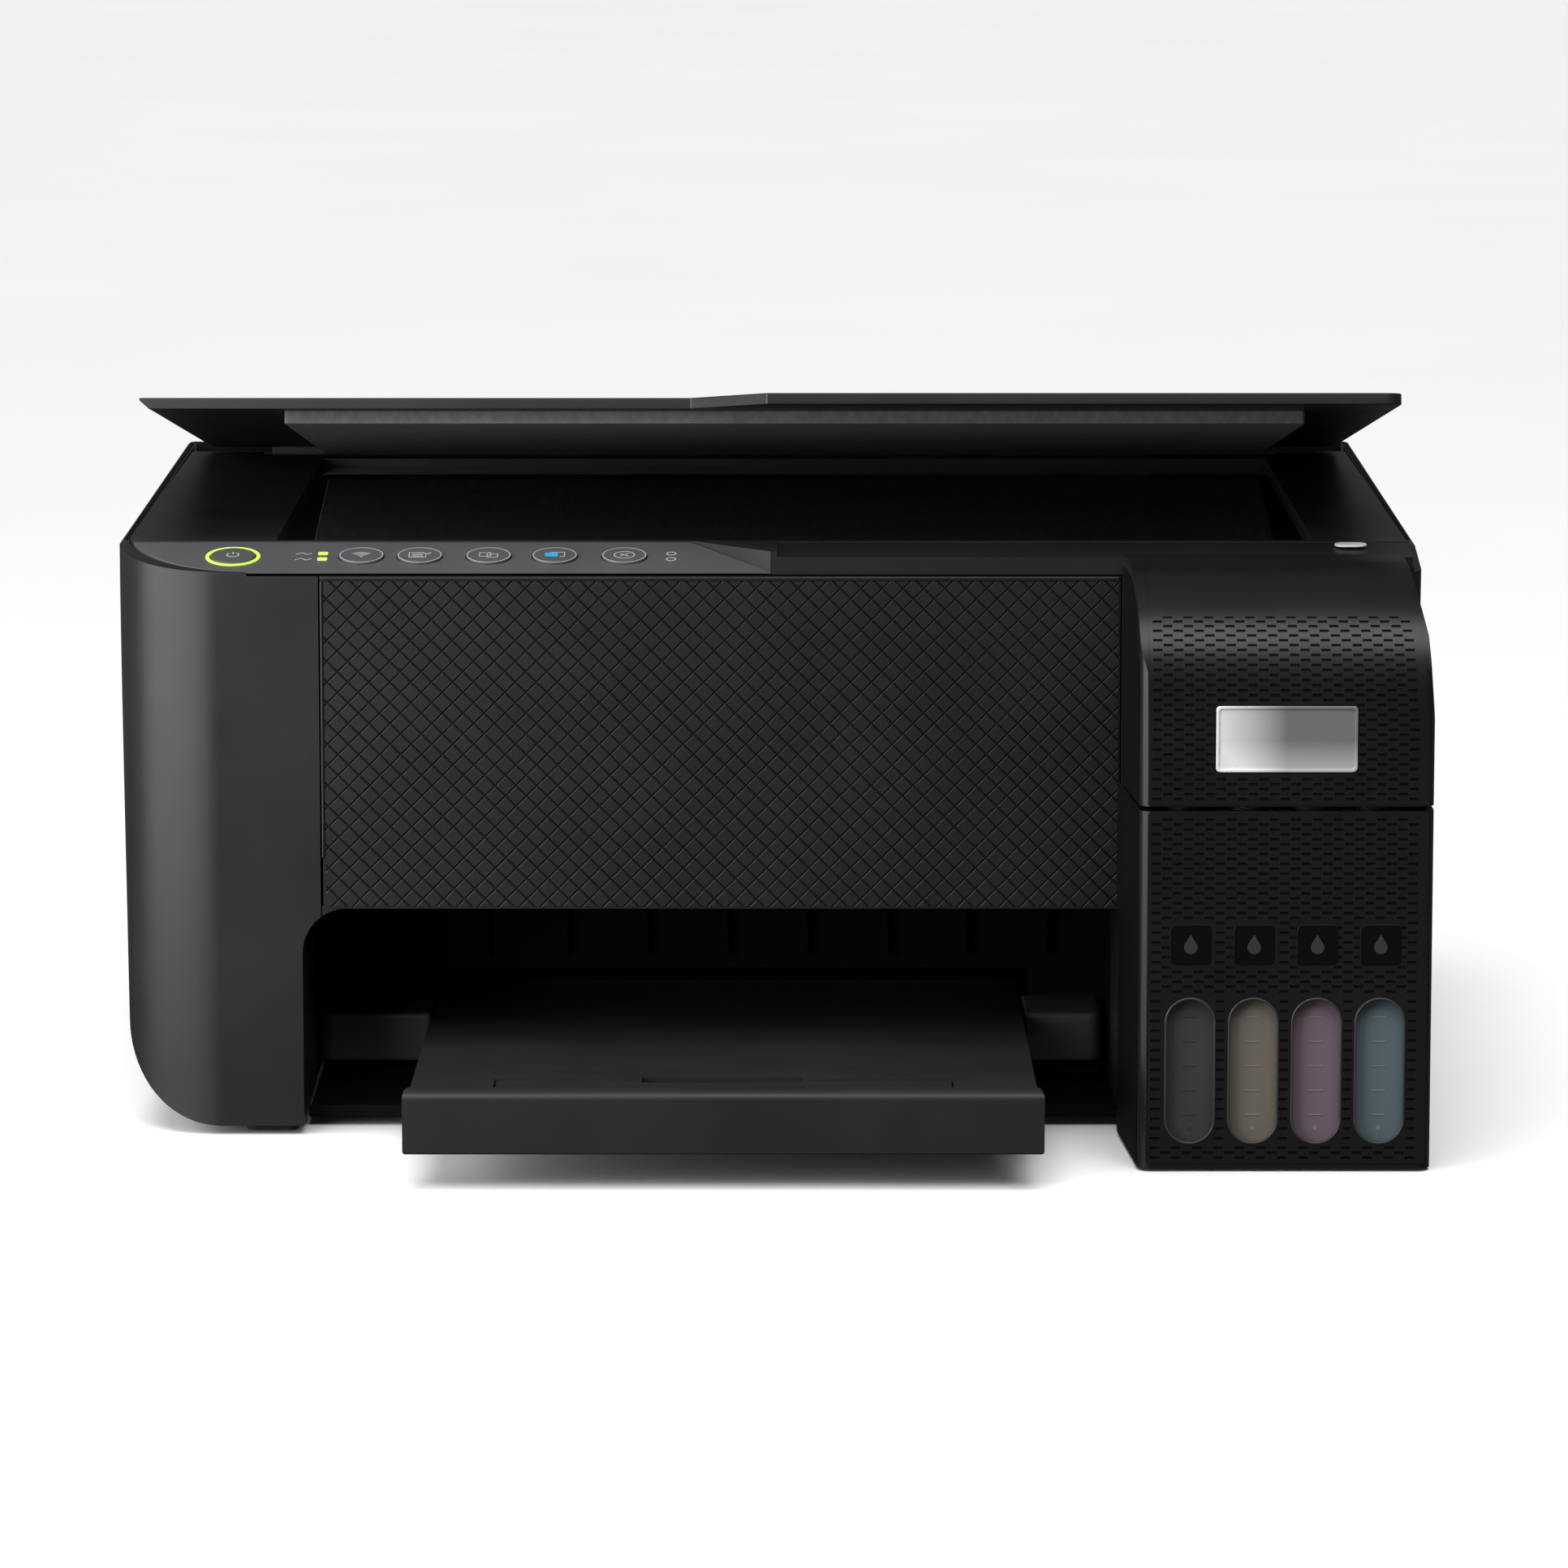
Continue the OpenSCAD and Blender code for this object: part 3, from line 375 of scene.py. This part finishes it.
def prism(outline, place):
    """A closed prism from a 2D outline; place(a, b, side) gives the 3D point, side 0 or 1."""
    count = len(outline)
    points = [place(a, b, side) for side in (0, 1) for a, b in outline]
    faces = [tuple(range(count)), tuple(range(2 * count - 1, count - 1, -1))]
    for i in range(count):
        j = (i + 1) % count
        faces.append((i, i + count, j + count, j))
    return points, faces


def ring_prism(outer, inner, place):
    """A closed ring between two outlines with the same number of points."""
    count = len(outer)
    points = [place(a, b, side) for side in (0, 1) for loop in (outer, inner) for a, b in loop]
    faces = []
    for i in range(count):
        j = (i + 1) % count
        o0, i0, o1, i1 = (base + i for base in (0, count, 2 * count, 3 * count))
        p0, q0, p1, q1 = (base + j for base in (0, count, 2 * count, 3 * count))
        faces += [(o0, p0, q0, i0), (o1, i1, q1, p1), (o0, o1, p1, p0), (i0, q0, q1, i1)]
    return points, faces


def circle(x, y, radius, count=48):
    turns = [2 * math.pi * k / count for k in range(count)]
    return [(x + radius * math.cos(t), y + radius * math.sin(t)) for t in turns]


def rounded(x0, y0, x1, y1, radius, count=8):
    """A rectangle with round corners."""
    points = []
    corners = [(x1 - radius, y1 - radius), (x0 + radius, y1 - radius), (x0 + radius, y0 + radius),
        (x1 - radius, y0 + radius)]
    for turn, (cx, cy) in enumerate(corners):
        for k in range(count + 1):
            t = math.pi / 2 * (turn + k / count)
            points.append((cx + radius * math.cos(t), cy + radius * math.sin(t)))
    return points


def on_front(y_front, y_back):
    """Places an outline drawn in X and Z as a plate between two depths."""
    return lambda a, b, side: (a, y_back if side else y_front, b)


def cut_out(piece, cutters):
    """Cuts closed shapes out of a piece and keeps the result as its mesh."""
    for cutter in cutters:
        mod = piece.modifiers.new("cut", "BOOLEAN")
        mod.operation = "DIFFERENCE"
        mod.solver = "EXACT"
        mod.object = cutter
    graph = bpy.context.evaluated_depsgraph_get()
    mesh = bpy.data.meshes.new_from_object(piece.evaluated_get(graph))
    old = piece.data
    piece.modifiers.clear()
    piece.data = mesh
    bpy.data.meshes.remove(old)
    for cutter in cutters:
        bpy.data.objects.remove(cutter)


# ---------------------------------------------------------------- relief of the front panel

DIAMOND = {"pitch": 6.0, "half_groove": 0.5, "proud": 0.34, "depth": 0.32, "back": 0.3}
BAY_TOP = 66.8  # the relief's lower edge, just above the paper bay


def groove_lines(start, stop):
    """Places of the mesh lines across parallel grooves: each groove's two edges and its bottom."""
    pitch, half = DIAMOND["pitch"], DIAMOND["half_groove"]
    steps = range(math.floor(start / pitch), math.ceil(stop / pitch) + 1)
    return [(k * pitch + d, d == 0) for k in steps for d in (-half, 0, half)]


def diamond_sheet(x0, z0, x1, z1):
    """The open sheet of crossed grooves, which reaches a little past a rectangle."""
    shape = bmesh.new()
    pitch = DIAMOND["pitch"]
    ups = groove_lines(x0 + z0, x1 + z1)
    downs = groove_lines(z0 - x1, z1 - x0)
    grid = {}
    for i, (u, u_low) in enumerate(ups):
        for j, (v, v_low) in enumerate(downs):
            x, z = (u - v) / 2, (u + v) / 2
            if x0 - pitch < x < x1 + pitch and z0 - pitch < z < z1 + pitch:
                y = -DIAMOND["proud"] + (DIAMOND["depth"] if u_low or v_low else 0)
                grid[i, j] = shape.verts.new(at(x, y, z))
    for i, j in list(grid):
        ring = [grid.get(k) for k in ((i, j), (i + 1, j), (i + 1, j + 1), (i, j + 1))]
        if all(ring):
            shape.faces.new(ring)
    return shape


def open_edges(shape):
    return [edge for edge in shape.edges if len(edge.link_faces) == 1]


def front_relief():
    """Crossed diagonal grooves pressed into the front panel's face, with painted shade darkening them towards
    their bottoms.
    """
    (left, _, _), (right, _, high) = span("front_panel")
    x0, x1, z0, z1 = left + 1.1, right - 0.5, BAY_TOP, high - 1.4
    shape = diamond_sheet(x0, z0, x1, z1)
    limits = [((x0, 0, z0), (-1, 0, 0)), ((x1, 0, z0), (1, 0, 0)), ((x0, 0, z0), (0, 0, -1)),
        ((x0, 0, z1), (0, 0, 1))]
    for point, normal in limits:
        everything = shape.verts[:] + shape.edges[:] + shape.faces[:]
        bmesh.ops.bisect_plane(shape, geom=everything, plane_co=at(*point), plane_no=normal,
            clear_outer=True)
    skirt = bmesh.ops.extrude_edge_only(shape, edges=open_edges(shape))
    for vert in [g for g in skirt["geom"] if isinstance(g, bmesh.types.BMVert)]:
        vert.co.y = at(0, DIAMOND["back"], 0).y
    bmesh.ops.holes_fill(shape, edges=open_edges(shape))
    mesh = bpy.data.meshes.new("front_relief")
    shape.to_mesh(mesh)
    shape.free()
    skin = finish_piece("front_relief", mesh, "chassis", "panel_black")
    face = at(0, -DIAMOND["proud"], 0).y
    # the grooves take painted shade, darker and less glossy towards their bottoms
    skin.data.materials[0] = relief("panel_relief_painted_groove_shade", (0.009, 0.009, 0.0092), 0.42, face + 0.04 * MM,
        face + 0.26 * MM)


def front_borders():
    """Raised rounded borders along the relief's top and left edges."""
    (left, _, _), (right, _, high) = span("front_panel")
    strips = {"top": (left + 0.1, high - 1.2, right - 0.3, high - 0.15), "side": (left + 0.1, 81.0,
        left + 0.95, high - 1.4)}
    for name, (x0, z0, x1, z1) in strips.items():
        outline = [(x0, z0), (x1, z0), (x1, z1), (x0, z1)]
        add_piece("front_border_" + name, *prism(outline, on_front(-0.55, 0.3)), "chassis",
            "panel_black", 0.3)


# ---------------------------------------------------------------- relief of the tank unit

TINTS = ("black", "yellow", "magenta", "cyan")


def middle_x(node):
    low, high = span(node)
    return (low[0] + high[0]) / 2


TANK = {"left": 106.9, "right": 185.6, "front": round(span("tank_housing")[0][1], 1),
    "seam": round(span("ink_tank_cover")[0][2] - 0.7, 1), "top": 169.5, "round": 33.0}
TANK_CENTRES = [round(middle_x("ink_tank_" + tint), 1) for tint in TINTS]
WINDOW = {"low": 7.9, "high": 49.6, "half": 7.0}
TILE = {"low": 59.0, "high": 70.6, "half": 5.8}
BADGE = [round(span("badge_plate")[side][axis], 1) for side in (0, 1) for axis in (0, 2)]
DASH = {"half_pitch": 3.0, "length": 2.7, "end_slope": 0.2, "row": 1.4, "gap": 0.32, "side_slope": 0.12,
    "proud": 0.3, "depth": 0.26, "under": -0.35}


def cover_profile(s):
    """Y, Z and the outward normal on the tank unit's side curve, s millimetres up from the table."""
    r = TANK["round"]
    knee = TANK["top"] - r
    if s <= knee:
        return TANK["front"], s, -1.0, 0.0
    turn = (s - knee) / r
    if turn <= math.pi / 2:
        y = TANK["front"] + r - r * math.cos(turn)
        return y, knee + r * math.sin(turn), -math.cos(turn), math.sin(turn)
    return TANK["front"] + r + (turn - math.pi / 2) * r, TANK["top"], 0.0, 1.0


def right_edge(z):
    """The right limit of the relief, which leans in near the top."""
    if z > 152:
        lean = 2.0 + (z - 152) / 18.5 * 4.5
    elif z > 128:
        lean = (z - 128) / 24 * 2.0
    else:
        lean = 0.0
    return TANK["right"] - lean


def clear_of(boxes, x, z, margin=0.9):
    return not any(a - margin < x < c + margin and b - margin < z < d + margin for a, b, c, d in boxes)


def dash_columns():
    """X of the mesh lines, each with the set of dashes that it lies in, 0, 1 or None."""
    columns = [(TANK["left"], None)]
    start, length, slope = TANK["left"] + 1.2, DASH["length"], DASH["end_slope"]
    count = 0
    while start + count * DASH["half_pitch"] + length < TANK["right"] - 0.4:
        x = start + count * DASH["half_pitch"]
        columns += [(x, None), (x + slope, count % 2), (x + length - slope, count % 2), (x + length, None)]
        count += 1
    return columns + [(TANK["right"], None)]


def dash_rows(s0, s1):
    """Heights of the mesh lines along the side curve, each with its set of dashes."""
    rows = [(s0, None)]
    step, gap, slope = DASH["row"], DASH["gap"], DASH["side_slope"]
    count = 0
    while s0 + 1.0 + (count + 1) * step < s1 - 0.6:
        s = s0 + 1.0 + count * step
        rows += [(s + gap, None), (s + gap + slope, count % 2), (s + step - gap - slope, count % 2),
            (s + step - gap, None)]
        count += 1
    return rows + [(s1, None)]


def dash_points(rows, columns, avoid, last_dash):
    """The points of the relief's outer face, and the numbers of those at the bottom of a dash."""
    points, low = [], set()
    across = TANK["right"] - TANK["left"]
    for s, row_set in rows:
        y, z, ny, nz = cover_profile(s)
        shrink = (right_edge(z) - TANK["left"]) / across
        for x, column_set in columns:
            px = TANK["left"] + (x - TANK["left"]) * shrink
            sunk = row_set is not None and row_set == column_set and s < last_dash
            sunk = sunk and clear_of(avoid, px, s)
            if sunk:
                low.add(len(points))
            h = DASH["proud"] - (DASH["depth"] if sunk else 0)
            points.append((px, y + ny * h, z + nz * h))
    return points, low


def dash_relief(name, body, s0, s1, avoid, last_dash=1000.0):
    """A thin closed skin with staggered rows of short slots pressed into it, their bottoms in near-black
    painted shade.
    """
    rows, columns = dash_rows(s0, s1), dash_columns()
    points, low = dash_points(rows, columns, avoid, last_dash)
    width, last, base = len(columns), len(rows) - 1, len(points)
    faces = [(r * width + c, r * width + c + 1, (r + 1) * width + c + 1, (r + 1) * width + c)
        for r in range(last) for c in range(width - 1)]
    dash_faces_in_painted_shade = [number for number, face in enumerate(faces) if any(corner in low for corner in face)]
    for s, _ in rows:
        y, z, ny, nz = cover_profile(s)
        for x in (TANK["left"], right_edge(z)):
            points.append((x, y + ny * DASH["under"], z + nz * DASH["under"]))
    for r in range(last):
        a, b = base + 2 * r, base + 2 * r + 2
        faces.append((a, a + 1, b + 1, b))
        faces.append((r * width, (r + 1) * width, b, a))
        faces.append((r * width + width - 1, a + 1, b + 1, (r + 1) * width + width - 1))
    faces.append(tuple(range(width)) + (base + 1, base))
    faces.append(tuple(range(last * width, last * width + width)) + (base + 2 * last + 1, base + 2 * last))
    piece = add_piece(name, points, faces, body, "tank_black")
    # the dash bottoms take the near-black painted shade
    piece.data.materials.append(MATERIALS["dash_black"])
    for face in dash_faces_in_painted_shade:
        piece.data.polygons[face].material_index = 1
    return piece


def window_outline(x, grow):
    half = WINDOW["half"] + grow
    return rounded(x - half, WINDOW["low"] - grow, x + half, WINDOW["high"] + grow, half - 0.01, 12)


def tank_reliefs():
    """The relief of the housing, cut out for its windows, and of the cover, cut out for its badge."""
    through = on_front(TANK["front"] - 3, TANK["front"] + 3)
    tiles = [(x - TILE["half"], TILE["low"], x + TILE["half"], TILE["high"]) for x in TANK_CENTRES]
    windows = [(x - WINDOW["half"], WINDOW["low"], x + WINDOW["half"], WINDOW["high"])
        for x in TANK_CENTRES]
    housing = dash_relief("housing_relief", "chassis", 2.2, TANK["seam"] - 1.2, tiles + windows)
    cut_out(housing, [add_cutter("cutter_" + str(i), *prism(window_outline(x, 0.2), through))
        for i, x in enumerate(TANK_CENTRES)])
    arc_end = TANK["top"] - TANK["round"] + TANK["round"] * math.pi / 2
    cover = dash_relief("cover_relief", "tank_lid", TANK["seam"] + 1.2, arc_end + 8.0, [BADGE], 158.0)
    a, b, c, d = BADGE
    hole = rounded(a - 0.3, b - 0.3, c + 0.3, d + 0.3, 1.3)
    cut_out(cover, [add_cutter("cutter_badge", *prism(hole, through))])


def drop_outline(x, z, size, count=20):
    """An ink drop: a circle drawn up to a point."""
    points = []
    for k in range(count):
        t = 2 * math.pi * k / count
        pull = max(0.0, math.sin(t)) ** 6
        points.append((x + size * math.cos(t) * (1 - 0.5 * pull), z + size * (math.sin(t) + 0.9 * pull)))
    return points


def level_marks(x, tint):
    """Short level lines and a dot on the ink tank's front, seen through its window."""
    tank_y = span("ink_tank_" + tint)[0][1]
    finish = "print_dim" if tint == "black" else "mark_pale"
    marks = [rounded(x - 2.0, z, x + 2.0, z + 0.35, 0.15, 3) for z in (15.5, 22.5, 29.5, 36.5, 43.5)]
    marks.append(circle(x, 11.8, 0.7, 16))
    for k, mark in enumerate(marks):
        add_piece("mark_" + tint + "_" + str(k), *prism(mark, on_front(tank_y - 0.12, tank_y + 0.2)),
            "chassis", finish, 0.04)


def tank_details():
    """Tiles with a drop each, rims and level marks of the windows, and the badge's rim."""
    front = TANK["front"]
    for x, tint in zip(TANK_CENTRES, TINTS):
        tile = rounded(x - TILE["half"], TILE["low"], x + TILE["half"], TILE["high"], 1.6)
        add_piece("tile_" + tint, *prism(tile, on_front(front - 0.42, front + 0.2)), "chassis",
            "tile_black", 0.2)
        drop = drop_outline(x, (TILE["low"] + TILE["high"]) / 2 - 0.7, 1.9)
        add_piece("drop_" + tint, *prism(drop, on_front(front - 0.5, front - 0.3)), "chassis",
            "print_dim", 0.05)
        rim = ring_prism(window_outline(x, 0.2), window_outline(x, -0.45),
            on_front(front - 0.5, front + 0.8))
        add_piece("window_rim_" + tint, *rim, "chassis", "print_dim", 0.22)
        level_marks(x, tint)
    a, b, c, d = BADGE
    rim = ring_prism(rounded(a, b, c, d, 1.5), rounded(a + 0.9, b + 0.9, c - 0.9, d - 0.9, 0.8),
        on_front(front - 0.75, front))
    add_piece("badge_rim", *rim, "tank_lid", "badge_silver", 0.25)


# ---------------------------------------------------------------- control panel

PANEL = {"front_z": 163.9, "rise": 5.5, "depth": 25.0}
PANEL_TILT = math.atan2(PANEL["rise"], PANEL["depth"])
BUTTON_Y = PANEL["depth"] / 2
BUTTON_Z = PANEL["front_z"] + PANEL["rise"] / 2


def panel_place(low, high):
    """Places an outline drawn in X and up the slope as a plate standing on the sloping panel."""

    def place(a, b, side):
        h = high if side else low
        y = BUTTON_Y + b * math.cos(PANEL_TILT) - h * math.sin(PANEL_TILT)
        z = BUTTON_Z + b * math.sin(PANEL_TILT) + h * math.cos(PANEL_TILT)
        return (a, y, z)

    return place


def stroke(points, width):
    """The outline of a line of even width through the points."""
    left, right = [], []
    for k, (x, y) in enumerate(points):
        ax, ay = points[max(k - 1, 0)]
        bx, by = points[min(k + 1, len(points) - 1)]
        size = math.hypot(bx - ax, by - ay) or 1.0
        nx, ny = -(by - ay) / size * width / 2, (bx - ax) / size * width / 2
        left.append((x + nx, y + ny))
        right.append((x - nx, y - ny))
    return left + right[::-1]


def arc(x, y, radius, start, stop, count=10):
    turns = [math.radians(start + (stop - start) * k / count) for k in range(count + 1)]
    return [(x + radius * math.cos(t), y + radius * math.sin(t)) for t in turns]


BUTTONS = ("power_button", "wifi_button", "status_button", "mono_copy_button", "colour_copy_button",
    "stop_button")
KEY_TOP = 0.6  # how proud the buttons stand


def icon_strokes(node, x):
    """The outlines of the generic symbol printed on a button, each with its finish."""
    grey = "print_grey"
    if node == "power_button":
        return [(stroke(arc(x, 0, 1.7, 125, 415, 16), 0.4), grey), (stroke([(x, 0.6), (x, 2.3)], 0.4), grey)]
    if node == "wifi_button":
        waves = [stroke(arc(x, -1.5, r, 45, 135), 0.4) for r in (1.3, 2.4, 3.5)]
        return [(w, grey) for w in waves] + [(circle(x, -1.5, 0.4, 12), grey)]
    if node == "status_button":
        lines = [stroke([(x - 2.2, y), (x + 1.0, y)], 0.35) for y in (-1.2, -0.2, 0.8)]
        corners = [(x - 3, -2), (x + 1.8, -2), (x + 1.8, 1.0), (x + 0.8, 2), (x - 3, 2), (x - 3, -2)]
        pen = stroke([(x + 2.2, 0.6), (x + 3.2, 1.9)], 0.45)
        return [(s, grey) for s in lines + [stroke(corners, 0.35), pen]]
    if node == "mono_copy_button":
        sheets = [rounded(x - 2.6, -1.2, x + 0.6, 1.9, 0.3, 3), rounded(x - 0.4, -2.1, x + 2.6, 0.8, 0.3, 3)]
        return [(stroke(s + s[:1], 0.32), grey) for s in sheets]
    if node == "colour_copy_button":
        return [(rounded(x - 2.8, -1.4, x + 0.9, 1.7, 0.3, 3), "cap_cyan"),
            (stroke([(x + 1.4, -1.4), (x + 2.8, -1.4), (x + 2.8, 2.2), (x - 1.2, 2.2)], 0.4), grey)]
    ring = circle(x, 0, 2.9, 24)
    return [(stroke(ring + ring[:1], 0.35), grey), (stroke([(x - 1.2, -1.2), (x + 1.2, 1.2)], 0.4), grey),
        (stroke([(x - 1.2, 1.2), (x + 1.2, -1.2)], 0.4), grey)]


def button_details():
    """A printed symbol and ring on each button, and the lit ring round the power button."""
    for node in BUTTONS:
        x = middle_x(node)
        body = node + "_key"
        for k, (outline, slot) in enumerate(icon_strokes(node, x)):
            add_piece(node + "_icon_" + str(k),
                *prism(outline, panel_place(KEY_TOP - 0.1, KEY_TOP + 0.07)), body, slot)
        if node == "power_button":
            ring = ring_prism(circle(x, 0, 7.9, 64), circle(x, 0, 6.8, 64), panel_place(-0.6, 0.3))
            add_piece("power_ring", *ring, "scanner_unit", "lamp_green", 0.2)
        else:
            ring = ring_prism(circle(x, 0, 6.3, 64), circle(x, 0, 6.02, 64),
                panel_place(0.5, KEY_TOP + 0.06))
            add_piece(node + "_ring", *ring, body, "print_grey")


LAMP_X = -127.7  # the two status lamps
HOLD_X = -27.5  # the two small rings beside the stop button


def panel_prints():
    """Two status lamps with their marks, and two small rings at the right of the buttons."""
    printed = panel_place(-0.1, 0.07)
    for k, y in enumerate((2.7, -2.1)):
        lamp = rounded(LAMP_X - 1.4, y - 1.1, LAMP_X + 1.4, y + 1.1, 0.5, 4)
        add_piece("status_lamp_" + str(k), *prism(lamp, panel_place(-0.4, 0.22)), "scanner_unit",
            "lamp_green", 0.12)
        zigzag = [(LAMP_X - 7.8, y - 0.7), (LAMP_X - 6.2, y + 0.8), (LAMP_X - 4.6, y - 0.7),
            (LAMP_X - 3.2, y + 0.4)]
        add_piece("lamp_mark_" + str(k), *prism(stroke(zigzag, 0.4), printed), "scanner_unit", "print_grey")
        small = ring_prism(circle(HOLD_X, y, 1.5, 20), circle(HOLD_X, y, 1.1, 20), printed)
        add_piece("hold_mark_" + str(k), *small, "scanner_unit", "print_grey")


# ---------------------------------------------------------------- scanner, bay and tray details


def tank_wall(name, body, outline):
    """A near-black skin of painted shade on the tank unit's slanting left wall, drawn in Y and Z."""
    at_front, at_back = 104.8, 101.2

    def place(a, b, side):
        wall = at_front + (a - TANK["front"]) / -TANK["front"] * (at_back - at_front)
        return (wall - (0.2 if side else -0.3), a, b)

    # painted shade: a near-black skin where the wall lies in shade
    add_piece(name, *prism(outline, place), body, "dash_black")


def tank_walls():
    """Painted shade on the wall towards the paper bay: a flat part below the seam and a round one above."""
    front = TANK["front"] + 3.6
    top = TANK["seam"] - 1.0
    tank_wall("housing_wall_shade", "chassis", [(front, 1.4), (-0.9, 1.4), (-0.9, top), (front, top)])
    radius = TANK["round"] - 3.4
    y, z = TANK["front"] + TANK["round"], TANK["top"] - TANK["round"]
    turns = [math.pi / 2 * k / 14 for k in range(15)]
    bow = [(y - radius * math.cos(t), z + radius * math.sin(t)) for t in turns]
    low = TANK["seam"] + 1.1
    back = -6.4
    tank_wall("cover_wall_shade", "tank_lid", [(back, low), (front, low)] + bow + [(back, z + radius)])


BODY_LEFT = span("left_side_cover")[0][0]
BODY_RIGHT = span("right_side_cover")[1][0]


def painted_shade_strip(name, x0, x1, outline):
    """A near-black strip of painted shade along X on the body, drawn in Y and Z."""
    # the strip is drawn in the near-black painted shade material
    add_piece(name, *prism(outline, lambda a, b, side: (x1 if side else x0, a, b)), "chassis", "dash_black")


def rim_height(y):
    """The top of the body's side walls beside the glass: they rise to the rear."""
    return 168.4 + (y - PANEL["depth"]) / (288 - PANEL["depth"]) * 2.0


def side_bands():
    """Painted shade bands on the body's side walls round the scanner unit."""
    depths = [38.0, 100.0, 200.0, 286.0]
    outline = [(y, rim_height(y) + 0.12) for y in depths] + [(y, rim_height(y) - 0.3) for y in depths[::-1]]
    painted_shade_strip("side_shade_band_left", BODY_LEFT + 0.5, BODY_LEFT + 1.9, outline)
    painted_shade_strip("side_shade_band_right", BODY_RIGHT - 1.9, BODY_RIGHT - 0.5, outline)


def deck_bands():
    """Painted shade caps on the low walls under the document cover's hinges."""
    outline = [(275.8, 168.4), (278.2, 168.4), (278.2, 171.4), (275.8, 171.4)]
    painted_shade_strip("deck_shade_band_left", BODY_LEFT + 2.9, -121.5, outline)
    painted_shade_strip("deck_shade_band_right", 122.5, BODY_RIGHT - 2.9, outline)


def corner_mark():
    """The light mark at the glass's home corner."""
    top = span("scan_bed")[1][2]
    outline = rounded(163.4, 12.0, 172.6, 20.0, 3.4, 8)
    upright = prism(outline, lambda a, b, side: (a, b, top + (0.35 if side else -0.3)))
    add_piece("corner_mark", *upright, "scanner_unit", "acetal_white", 0.25)


def stacker_blocks():
    """The blocks beside the tray, each with a round outer front corner, over the exit frame's own, in the
    lighter button grey as painted light.
    """
    y0, y1, z0, z1 = 64.7, 95.5, 8.8, 23.6
    radius = 4.2
    turns = [math.pi / 2 * k / 8 for k in range(9)]
    (tray_left, _, _), (tray_right, _, _) = span("output_tray")
    sides = [("left", -133.4, tray_left + 1.5, 1), ("right", 99.5, tray_right - 1.5, -1)]
    for name, outer, inner, sign in sides:
        corner = [(outer + sign * radius * (1 - math.sin(t)), y0 + radius * (1 - math.cos(t))) for t in turns]
        outline = corner + [(outer, y1), (inner, y1), (inner, y0)]
        block = prism(outline, lambda a, b, side: (a, b, z1 if side else z0))
        # painted light: the button grey stands in for light falling on the black blocks
        add_piece("stacker_block_" + name, *block, "chassis", "button_grey", 1.4)


front_relief()
front_borders()
tank_reliefs()
tank_details()
button_details()
panel_prints()
tank_walls()
side_bands()
deck_bands()
corner_mark()
stacker_blocks()

# ---------------------------------------------------------------- stage, light and camera

WORLD = 0.1
SKY = 3.0
KEY = 8.0  # watts, like the strip's
STRIP = 9.0
FLOOR_HALF = 14.0


def stage_floor():
    """A wide pale floor that the object neither mirrors nor takes light from."""
    mesh = bpy.data.meshes.new("floor")
    size = FLOOR_HALF
    mesh.from_pydata([(-size, -size, 0), (size, -size, 0), (size, size, 0), (-size, size, 0)], [],
        [(0, 1, 2, 3)])
    floor = add_object("floor", mesh)
    floor.location.z = -0.0002
    paper = Shader("floor", (0.93, 0.93, 0.93), 0.7)
    paper.vary_rough(paper.noise(3), 0.65, 0.75)
    mesh.materials.append(paper.material)
    floor.visible_glossy = False
    floor.visible_diffuse = False


def area_light(name, place, target, size, power):
    data = bpy.data.lights.new(name, "AREA")
    data.shape = "RECTANGLE"
    data.size, data.size_y = size
    data.energy = power
    light = bpy.data.objects.new(name, data)
    light.location = place
    aim = Vector(target) - Vector(place)
    light.rotation_euler = aim.to_track_quat("-Z", "Y").to_euler()
    bpy.context.scene.collection.objects.link(light)


def studio():
    """A white sweep lit from above, a big soft light close on the left, and a strip above the lens."""
    world = bpy.data.worlds.new("studio")
    world.use_nodes = True
    world.node_tree.nodes["Background"].inputs["Color"].default_value = (1, 1, 1, 1)
    world.node_tree.nodes["Background"].inputs["Strength"].default_value = WORLD
    bpy.context.scene.world = world
    sky = bpy.data.lights.new("sky", "SUN")
    sky.energy = SKY
    sky.angle = math.radians(50)
    sky_ob = bpy.data.objects.new("sky", sky)
    sky_ob.visible_glossy = False
    bpy.context.scene.collection.objects.link(sky_ob)
    area_light("key", at(-640, -330, 250), at(-150, 20, 120), (1.0, 0.6), KEY)
    area_light("strip", at(100, -860, 1050), at(100, -20, 130), (1.4, 0.6), STRIP)
    bpy.context.scene.view_settings.view_transform = "Standard"


# the camera fitted to the photograph
CAMERA_PLACE = at(4.9, -2104.6, 427.5)
CAMERA_DOWN = 8.778  # degrees below the horizon
CAMERA_LENS = 170.3  # millimetres on a sensor 36 wide


def photo_camera():
    data = bpy.data.cameras.new("camera")
    data.lens = CAMERA_LENS
    data.sensor_width = 36.0
    camera = bpy.data.objects.new("camera", data)
    camera.location = CAMERA_PLACE
    camera.rotation_euler = (math.radians(90 - CAMERA_DOWN), 0, 0)
    bpy.context.scene.collection.objects.link(camera)
    bpy.context.scene.camera = camera


stage_floor()
studio()
photo_camera()
